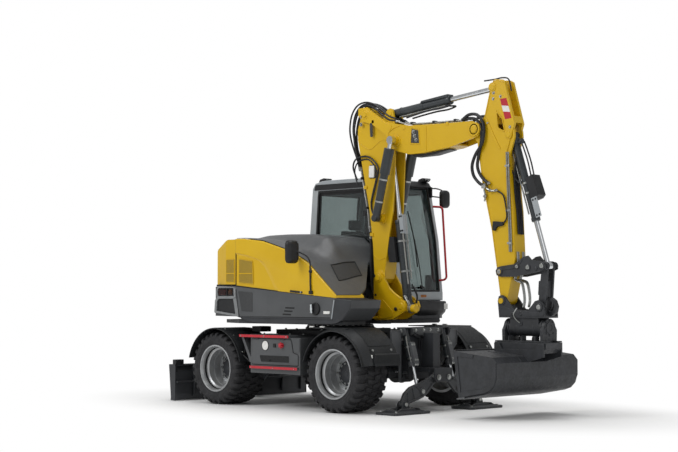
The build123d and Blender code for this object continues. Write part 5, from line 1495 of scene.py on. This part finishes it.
# the box under the boom
addPlate([(560, 3128), (1180, 3160), (1180, 3150), (900, 3104), (600, 3098)], "y", -70, 70, radius=12)
makePiece("underBox", "chassisEnamel", "upper_boom", bevel=4)
armRam = (210, 3670), (1870, 3838)
addGland(armRam, 942, 52)
for d in (120, 500):
    addLathe(alongRam(armRam, d), ramWay(armRam), [(52, 0), (57, 2), (57, 20), (52, 22)], 28, closed=True)
a, b = alongRam(armRam, 480), alongRam(armRam, 930)
addLayers([[(a.x, y, a.z + 40), (a.x + 20, y, a.z + 66), (b.x, y, b.z + 66), (b.x, y, b.z + 30)]
           for y in (-56, -50, 50, 56)])
makePiece("armGland", "ramEnamel", "arm_barrel", bevel=2)
for y in (-30, 30):
    addTube([alongRam(armRam, d, y, 62) for d in (110, 400, 700, 900)], 8)
makePiece("armRamPipes", "zincPlate", "arm_barrel")
for y in (-40, 40):
    addTube([alongRam(armRam, d, y * s, off) for d, s, off in ((880, 0.8, 62), (960, 1.4, 80), (820, 1.9, 92),
                                                               (640, 1.9, 84), (430, 1.6, 90), (250, 1.4, 100))], 11,
            sides=10)
makePiece("armRamHoses", "hoseRubber", "arm_barrel")
print("upper boom built")

# ---- hoses over the nose and the arm

for y, path in ((-104, [(1410, 3487), (1520, 3540), (1650, 3530), (1740, 3440), (1764, 3330), (1735, 3180),
                        (1640, 3060), (1585, 2930), (1608, 2810), (1690, 2720), (1760, 2684)]),
                (-84, [(1410, 3487), (1500, 3500), (1620, 3478), (1700, 3390), (1716, 3290), (1700, 3160),
                       (1668, 3040), (1650, 2920), (1690, 2820), (1770, 2740), (1830, 2706)]),
                (104, [(1410, 3487), (1520, 3536), (1650, 3520), (1735, 3430), (1756, 3330), (1725, 3180),
                       (1650, 3050), (1612, 2930), (1640, 2810), (1720, 2730), (1780, 2690)])):
    side = -1 if y < 0 else 1
    line = [(x, y + side * (26 * math.sin(min(i, 6) / 6 * math.pi / 2)), z) for i, (x, z) in enumerate(path)]
    addTube(line, 17 if side > 0 else 19, sides=12)
hose = makePiece("noseHoses", "hoseRubber", None)
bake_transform(hose)
armFace = 95
for side in (-1, 1):
    y0, y1 = span(side, armFace, armFace + 6)
    # stiffening plate along the head, weld lines and the boss of the pins
    addPlate([(1752, 3470), (1790, 3470), (1935, 3200), (1990, 3110), (1975, 3096), (1900, 3190)], "y", y0, y1,
             radius=8)
    addTube([(1762, side * 96, 3500), (1878, side * 96, 3890), (1950, side * 96, 3914), (2036, side * 96, 3884)], 5,
            sides=6)
    addTube([(1724, side * 96, 2735), (1862, side * 96, 2165), (1926, side * 96, 1766), (1982, side * 96, 1400)], 4,
            sides=6)
    addTube([(2084, side * 96, 3090), (2164, side * 96, 2371), (2190, side * 96, 1838)], 4, sides=6)
    addFrame([(1920, 3572), (2026, 3456), (2062, 3290), (1944, 3350)], "y", y0, y1, 12, radius=20)
addBoss(1870, 3838, armFace, 56, proud=8)
addBoss(2110, 3260, armFace, 48, proud=9)
addBoss(1980, 1670, armFace, 54, proud=3)
makePiece("armForms", "yellowEnamel", "arm", bevel=2)
# hazard stripes: red, white, red across the head's front edge
bands = {"redEnamel": [(0.0, 0.36), (0.66, 1.0)], "whiteLens": [(0.36, 0.66)]}
low, high = (Vector((1984, 3690)), Vector((2080, 3694))), (Vector((2058, 3446)), Vector((2154, 3452)))
for finish, parts in bands.items():
    for s, e in parts:
        a, d = low[0].lerp(high[0], max(s - 0.04, 0)), low[1].lerp(high[1], s + 0.04 if s else 0.0)
        b, c = low[0].lerp(high[0], e - 0.04 if e < 1 else 1), low[1].lerp(high[1], min(e + 0.04, 1))
        for side in (-1, 1):
            addPlate([tuple(a), tuple(b), tuple(c), tuple(d)], "y", *span(side, 94, 96.2))
    makePiece("hazardStripe_" + finish, finish, "arm")
for side in (-1, 1):
    for x, z in ((1888, 3770), (1880, 3700), (1990, 3720), (2130, 3350), (1800, 3420)):
        addBolt((x, side * 95, z), (0, side, 0), 20)
    addBox((1740, 1800), span(side, 95, 150), (2650, 2690), radius=8)
    addTube([(1770, side * 122, 2670), (1850, side * 122, 2622), (1950, side * 118, 2618)], 12)
    addTube([(1760, side * 124, 2640), (1780, side * 124, 2560), (1766, side * 122, 2500)], 10)
    for x, z in ((1768, 2690), (1836, 2706), (1852, 2622), (1946, 2618), (1776, 2560)):
        addLathe((x, side * 124, z), (0.5, 0, -0.8), [(20, -14), (22, -12), (22, 10), (18, 14)], 6)
    for x in (2086, 2112):
        addTube([(x - 2, side * (armFace + 12), 3060), (x + 10, side * (armFace + 12), 2700),
                 (x + 24, side * (armFace + 12), 2371), (x + 36, side * (armFace + 12), 2100),
                 (x + 38, side * (armFace + 12), 1900)], 9)
    for z in (2900, 2380, 2000):
        x = heightAlong([(1838, 2140), (2371, 2112), (3060, 2100)], z)
        addBox((x - 36, x + 30), span(side, 96, 118), (z - 12, z + 12), radius=4)
makePiece("armFittings", "zincPlate", "arm")
for side in (-1, 1):
    addPlate([(1890, 2262), (2040, 2248), (2040, 2206), (1950, 2196), (1912, 2146), (1880, 2160)], "y",
             *span(side, 96, 126), radius=10)
    addTube([(1955, side * 116, 2614), (2040, side * 116, 2560), (2078, side * 116, 2440), (2090, side * 112, 2300),
             (2040, side * 112, 2230)], 10)
makePiece("armValve", "trimPlastic", "arm", bevel=4)
for y in (-40, -10, 20, 44):
    addTube([(2176, y, 3000), (2150, y, 2800), (2160, y, 2560), (2186, y, 2371), (2206, y, 2100)], 11)
addTube([(1700, -36, 3935), (1860, -38, 3938), (1980, -38, 3946), (2070, -38, 3916), (2110, -38, 3780)], 9)
makePiece("armHoses", "hoseRubber", "arm")
for k, y in enumerate((-60, -38, 38, 60)):
    lift = 10 * (k % 2)
    addTube([(2200, y, 1900), (2206, y, 1700), (2160, y, 1590), (2200, y, 1560 + lift), (2260, y, 1530 + lift),
             (2290, y, 1420), (2296, y, 1330), (2280, y, 1260)], 10)
hose = makePiece("tipHoses", "zincPlate", None)
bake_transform(hose)
print("arm built")

# ---- bucket ram and linkage

bucketRam = (2110, 3260), (2600, 1730)
addGland(bucketRam, 1062, 46)
addLathe(alongRam(bucketRam, 40), ramWay(bucketRam), [(46, 0), (58, 6), (62, 40), (58, 70), (46, 76)], 28,
         closed=True)
addBar(alongRam(bucketRam, 90, 0, -20), alongRam(bucketRam, 110, 0, -104), 32)
makePiece("bucketGland", "ramEnamel", "bucket_barrel", bevel=2)
addLayers([[tuple(alongRam(bucketRam, d, y, off)) for d, off in ((560, -52), (548, -160), (800, -172), (826, -128),
                                                                 (826, -52))] for y in (-74, -66, 66, 74)])
makePiece("bucketGuard", "trimPlastic", "bucket_barrel", bevel=5)
addLayers([[tuple(alongRam(bucketRam, d, y, off)) for d, off in ((812, -64), (812, -146), (1050, -146), (1050, -64))]
           for y in (-82, -74)])
makePiece("bucketPlate", "pillarEnamel", "bucket_barrel", bevel=2)
for d in (838, 1024):
    for off in (-86, -124):
        addBolt(alongRam(bucketRam, d, -82, off), (0, -1, 0), 12)
makePiece("bucketPlateBolts", "sealRubber", "bucket_barrel")
for d in (590, 710):
    addLathe(alongRam(bucketRam, d), ramWay(bucketRam), [(47, 0), (52, 1), (52, 22), (47, 23)], 28, closed=True)
for y in (-26, 26):
    addTube([alongRam(bucketRam, d, y, off) for d, off in ((130, 56), (400, 58), (700, 58), (960, 58))], 9)
makePiece("bucketPipes", "zincPlate", "bucket_barrel")
for y in (-30, 30):
    addTube([alongRam(bucketRam, d, y * s, off) for d, s, off in ((130, 1, 56), (60, 1.3, 84), (160, 1.5, 112),
                                                                  (330, 1.4, 128), (470, 1.2, 116), (560, 1, 80),
                                                                  (520, 1, 62))], 10)
    addTube([alongRam(bucketRam, d, y, off) for d, off in ((110, -100), (220, -112), (380, -120), (560, -110))], 9)
makePiece("bucketHoses", "hoseRubber", "bucket_barrel")
for side in (-1, 1):
    for x, z, r in ((1980, 1670, 46), (2244, 1726, 30), (2400, 1715, 40), (2600, 1730, 48), (2514, 1700, 24)):
        addCap((x, side * 119, z), (0, side, 0), r, 7, 6, chamfer=3, sides=26)
    addPlate([(1965, 1700), (2010, 1716), (2200, 1736), (2330, 1818), (2300, 1770), (2180, 1700), (2020, 1686)], "y",
             *span(side, 119, 125), radius=14)
makePiece("rockerForms", "primedCasting", "rocker", bevel=3)
for side in (-1, 1):
    for x, z, r in ((1980, 1670, 26), (2244, 1726, 20), (2400, 1715, 26), (2600, 1730, 28)):
        addCap((x, side * 129, z), (0, side, 0), r, 4, 6, chamfer=5)
        addBolt((x, side * 136, z), (0, side, 0), 14, washer=False)
makePiece("rockerPins", "zincPlate", "rocker")
for side in (-1, 1):
    addCap((2600, side * 70, 1730), (0, side, 0), 56, 8, 10)
    addCap((2560, side * 70, 1262), (0, side, 0), 48, 10, 8)
addPlate([(2500, 1560), (2560, 1570), (2556, 1390), (2490, 1400)], "y", -52, 52, radius=12)
addBar((2540, 0, 1600), (2556, 0, 1640), 12)
makePiece("linkForms", "primedCasting", "link", bevel=4)

# ---- coupler, tilting hitch and bucket

for side in (-1, 1):
    for x, z, r in ((2020, 1333, 52), (2560, 1262, 52), (2300, 1190, 28), (2180, 1180, 20)):
        addLathe((x, side * 125, z), (0, side, 0), [(r, 0), (r, 8), (r - 6, 12), (r * 0.5, 12), (r * 0.5, 7), (0, 7)],
                 28)
    addPlate([(1990, 1160), (2630, 1160), (2630, 1200), (2420, 1212), (2180, 1222), (2010, 1290)], "y",
             *span(side, 125, 130), radius=20)
# the lifting hook behind the link
hook = [(2640, 1180), (2700, 1160), (2760, 1200), (2776, 1270), (2750, 1340), (2700, 1372), (2668, 1352),
        (2676, 1322), (2706, 1330), (2728, 1300), (2736, 1262), (2716, 1222), (2680, 1212), (2640, 1240)]
addPlate([(x - 42, z) for x, z in hook], "y", -24, 24, radius=16)
# tilting cylinder housing: end flanges, ribs and ports
for x, r in ((2082, 112), (2200, 104), (2440, 104), (2552, 112)):
    addLathe((x, 0, 1028), (1, 0, 0), [(98, 0), (r, 4), (r, 18), (98, 22)], 40)
for y in (-88, 88):
    addBox((2250, 2300), sorted((y, y * 1.25)), (1050, 1096), radius=8)
makePiece("couplerForms", "primedCasting", "coupler", bevel=4, segments=3)
for side in (-1, 1):
    for x, z in ((2020, 1333), (2560, 1262)):
        addLathe((x, side * 136, z), (0, side, 0), [(30, -6), (30, 4), (25, 8), (0, 8)], 24)
    addTube([(2275, side * 112, 1080), (2230, side * 130, 1120), (2200, side * 134, 1180), (2240, side * 120, 1250)],
            9)
makePiece("couplerPins", "zincPlate", "coupler")
for x0 in (2022, 2614):
    addLathe((x0, 0, 1028), (1, 0, 0), [(70, 0), (70, 10), (40, 10), (40, 4), (0, 4)], 32)
    for k in range(8):
        t = math.pi * k / 4
        way = -1 if x0 < 2300 else 1
        addBolt((2030 if way < 0 else 2616, 86 * math.cos(t), 1028 + 86 * math.sin(t)), (way, 0, 0), 16)
for side in (-1, 1):
    addPlate([(1944, 852), (2668, 852), (2660, 800), (2590, 752), (2400, 742), (2100, 770), (1960, 790)], "y",
             *span(side, 148, 151), radius=10)
    addPlate([(1938, 862), (2672, 862), (2672, 878), (1938, 878)], "y", *span(side, 60, 152), radius=4)
    for x in (2120, 2310, 2500):
        addPlate([(x, 878), (x + 16, 878), (x + 16, 940), (x, 900)], "y", *span(side, 60, 140))
makePiece("hitchForms", "primedCasting", "bucket", bevel=3)
edge = 750  # half the bucket's width
for side in (-1, 1):
    y0, y1 = span(side, edge, edge + 9)
    # doubling plates on the bucket's ends, along the mouth and the heel
    addPlate([(1822, 766), (2120, 736), (2108, 690), (1880, 704), (1930, 290), (1900, 240)], "y", y0, y1, radius=10)
    addPlate([(1900, 240), (1930, 300), (2250, 350), (2340, 392), (2396, 486), (2398, 630), (2444, 640), (2444, 472),
              (2414, 392), (2356, 336), (2268, 306)], "y", y0, y1, radius=14)
addPlate([(1896, 226), (2262, 291), (2350, 322), (2412, 384), (2443, 468), (2450, 468), (2420, 376), (2356, 312),
          (2266, 281), (1894, 214)], "y", -edge + 2, edge - 2)
for y in (-300, 300):
    addPlate([(1960, 756), (2380, 712), (2440, 660), (2452, 520), (2446, 520), (2430, 654), (2376, 700), (1960, 742)],
             "y", y - 9, y + 9)
addBox((1812, 1846), (-edge, edge), (752, 776), radius=5)
makePiece("bucketForms", "primedCasting", "bucket", bevel=3)
addPlate([(1868, 216), (1980, 232), (1984, 250), (1894, 236), (1866, 228)], "y", -edge - 4, edge + 4)
for y in range(-660, 661, 165):
    addLathe((1950, y, 226), (0.15, 0, -1), [(17, -2), (17, 4), (9, 5), (0, 3)], 14)
makePiece("bucketEdge", "wornSteel", "bucket", bevel=1.5)
print("linkage and bucket built")
# ---- stabilisers: I-section legs, ram guards, dished pads, and the frame that holds them

ramTop, ramEye = Vector((690, 338, 962)), Vector((905, 338, 250))
stabReach = {"guardFrom": 150, "guardTo": 440}
legOutline = [(50, 440), (90, 461), (140, 449), (250, 394), (400, 349), (560, 309), (659, 239), (711, 140), (711, 91),
              (675, 67), (625, 91), (560, 121), (430, 151), (330, 181), (240, 231), (151, 321), (61, 371)]


def besideRam(distance, off, y=0.0):
    way = (ramEye - ramTop).normalized()
    return ramTop + way * distance + Vector((-way.z, 0, way.x)) * off + Vector((0, y, 0))


def addAlongRam(outline, y0, y1):
    addLayers([[besideRam(d, off, y) for d, off in outline] for y in (y0, y1)])


def mirrorToRight(side):
    if side < 0:
        for vert in mesh.verts:
            vert.co.y = -vert.co.y


for tag, side in (("left", 1), ("right", -1)):
    addFrame(legOutline, "x", 945.5, 984.5, 20, radius=6)
    addPlate(legOutline, "x", 957, 972, radius=6)
    for y, z, r, reach in ((90, 410, 52, 30), (675, 110, 42, 30), (338, 250, 46, 24)):
        addLathe((965, y, z), (1, 0, 0), [(r - 4, -reach), (r, 4 - reach), (r, reach - 4), (r - 4, reach),
                                          (r - 16, reach), (r - 16, -reach)], 32, closed=True)
    for y0, z0, y1, z1 in ((146, 330, 240, 394), (280, 206, 310, 290), (370, 262, 470, 330), (470, 146, 520, 318),
                           (586, 112, 600, 284)):
        run = Vector((y1 - y0, z1 - z0)).normalized() * 6
        addPlate([(y0 - run.y, z0 + run.x), (y1 - run.y, z1 + run.x), (y1 + run.y, z1 - run.x),
                  (y0 + run.y, z0 - run.x)], "x", 948, 982)
    mirrorToRight(side)
    leg = makePiece("legCasting_" + tag, "legEnamel", "leg_" + tag, bevel=2.5)
    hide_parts("stabiliser_leg_" + tag)
    addCap((982, 338, 250), (1, 0, 0), 27, 12, 5)
    addBolt((984, 150, 420), (1, 0, 0), 18)
    mirrorToRight(side)
    makePiece("legPins_" + tag, "zincPlate", "leg_" + tag)
    # pads: a raised rim round the sole, ribs up to the lugs, the pin's keepers
    addFrame([(797, 357), (1143, 357), (1143, 993), (797, 993)], "z", 12, 30, 16, radius=58)
    for x0, x1 in ((880, 910), (1020, 1050)):
        addPlate([(500, 38), (850, 38), (780, 66), (570, 66)], "x", x0, x1)
    for y in (450, 880):
        addPlate([(860, 38), (1070, 38), (1020, 62), (910, 62)], "y", y, y + 20)
    mirrorToRight(side)
    makePiece("padRibs_" + tag, "legEnamel", "pad_" + tag, bevel=3)
    for x, way in ((913, -1), (1017, 1)):
        addCap((x, 675, 110), (way, 0, 0), 24, 10, 5)
    for x in (850, 1090):
        for y in (430, 920):
            addBolt((x, y, 26), (0, 0, 1), 24)
    mirrorToRight(side)
    makePiece("padPins_" + tag, "zincPlate", "pad_" + tag)
    # rams: guard channel on the front, gland, clamps, pipe and fittings
    d0, d1 = stabReach["guardFrom"], stabReach["guardTo"]
    addAlongRam([(d0, 62), (d0 + 14, 84), (d1 - 30, 84), (d1, 66), (d1, 60), (d1 - 32, 76), (d0 + 18, 76), (d0, 56)],
                -36, 36)
    for y0, y1 in ((-38, -32), (32, 38)):
        addAlongRam([(d0, 44), (d0, 62), (d0 + 14, 86), (d1 - 30, 86), (d1, 66), (d1, 48), (d1 - 40, 44)], y0, y1)
    mirrorToRight(side)
    makePiece("ramGuard_" + tag, "guardEnamel", "leg_barrel_" + tag, bevel=2)
    way, front = ramEye - ramTop, besideRam(0, 1) - besideRam(0, 0)
    addLathe(besideRam(430, 0), way, [(40.5, -52), (47, -48), (47, -6), (43, 3), (26, 4), (26, -52)], 28, closed=True)
    mirrorToRight(side)
    makePiece("stabiliserGland_" + tag, "guardEnamel", "leg_barrel_" + tag, bevel=1)
    addTube([besideRam(70, 30, 34), besideRam(100, 34, 44), besideRam(250, 30, 46), besideRam(395, 30, 44)], 7)
    for d in (190, 330):
        addLathe(besideRam(d, 0), way, [(40.5, 0), (44, 1), (44, 20), (40.5, 21)], 28, closed=True)
    for y in (-17, 17):
        addLathe(besideRam(d1 - 14, 66, y), way, [(11, -20), (11, 0), (15, 2), (15, 18), (10, 22), (0, 22)], 12)
        addBolt(besideRam(d0 + 40, 84, y), front, 15)
        addBolt(besideRam(d1 - 60, 84, y), front, 15)
    mirrorToRight(side)
    makePiece("ramFittings_" + tag, "zincPlate", "leg_barrel_" + tag, bevel=0.8)

# guard posts beside the rams, the cross member's face, cheek caps and the hoses to the rams
post = [(430, 360), (460, 352), (462, 560), (490, 690), (596, 790), (604, 976), (430, 976)]
addPlate(post, "x", 692, 706, radius=22)
addFrame(post, "x", 706, 716, 10, radius=22)
addBox((640, 700), (404, 440), (925, 975), radius=10)
addMirror()
makePiece("guardPosts", "guardEnamel", "base", bevel=3)
addPlate([(-262, 1000), (262, 1000), (262, 958), (222, 906), (-222, 906), (-262, 958)], "x", 734, 746, radius=14)
cheekCap = [(634, 918), (742, 908), (768, 950), (756, 1004), (634, 1004)]
for y0, y1 in ((262, 271), (405, 414)):
    for flip in (-1, 1):
        addPlate(cheekCap, "y", *span(flip, y0, y1), radius=26)
for flip in (-1, 1):
    addPlate([(636, 1000), (756, 1000), (756, 1008), (636, 1008)], "y", *span(flip, 270, 406))
makePiece("crossMember", "anthraciteEnamel", "base", bevel=4)
for flip in (-1, 1):
    for y, way in ((414, 1), (262, -1)):
        addCap((690, flip * y, 962), (0, way * flip, 0), 30, 8, 6)
    for y in (60, 200):
        addBolt((746, flip * y, 975), (1, 0, 0), 20)
    addCap((1015, flip * 90, 410), (1, 0, 0), 34, 9, 6)
makePiece("stabiliserPins", "zincPlate", "base")
for k, (y, z) in enumerate(((40, 880), (80, 860), (120, 884))):
    addTube([(722, y, z - 130), (738, y + 10, z), (752, y + 60, z + 24), (750, y + 120, z + 36), (740, 268, 958)], 9)
addMirror()
makePiece("stabiliserHoses", "hoseRubber", "base")
print("stabilisers built")
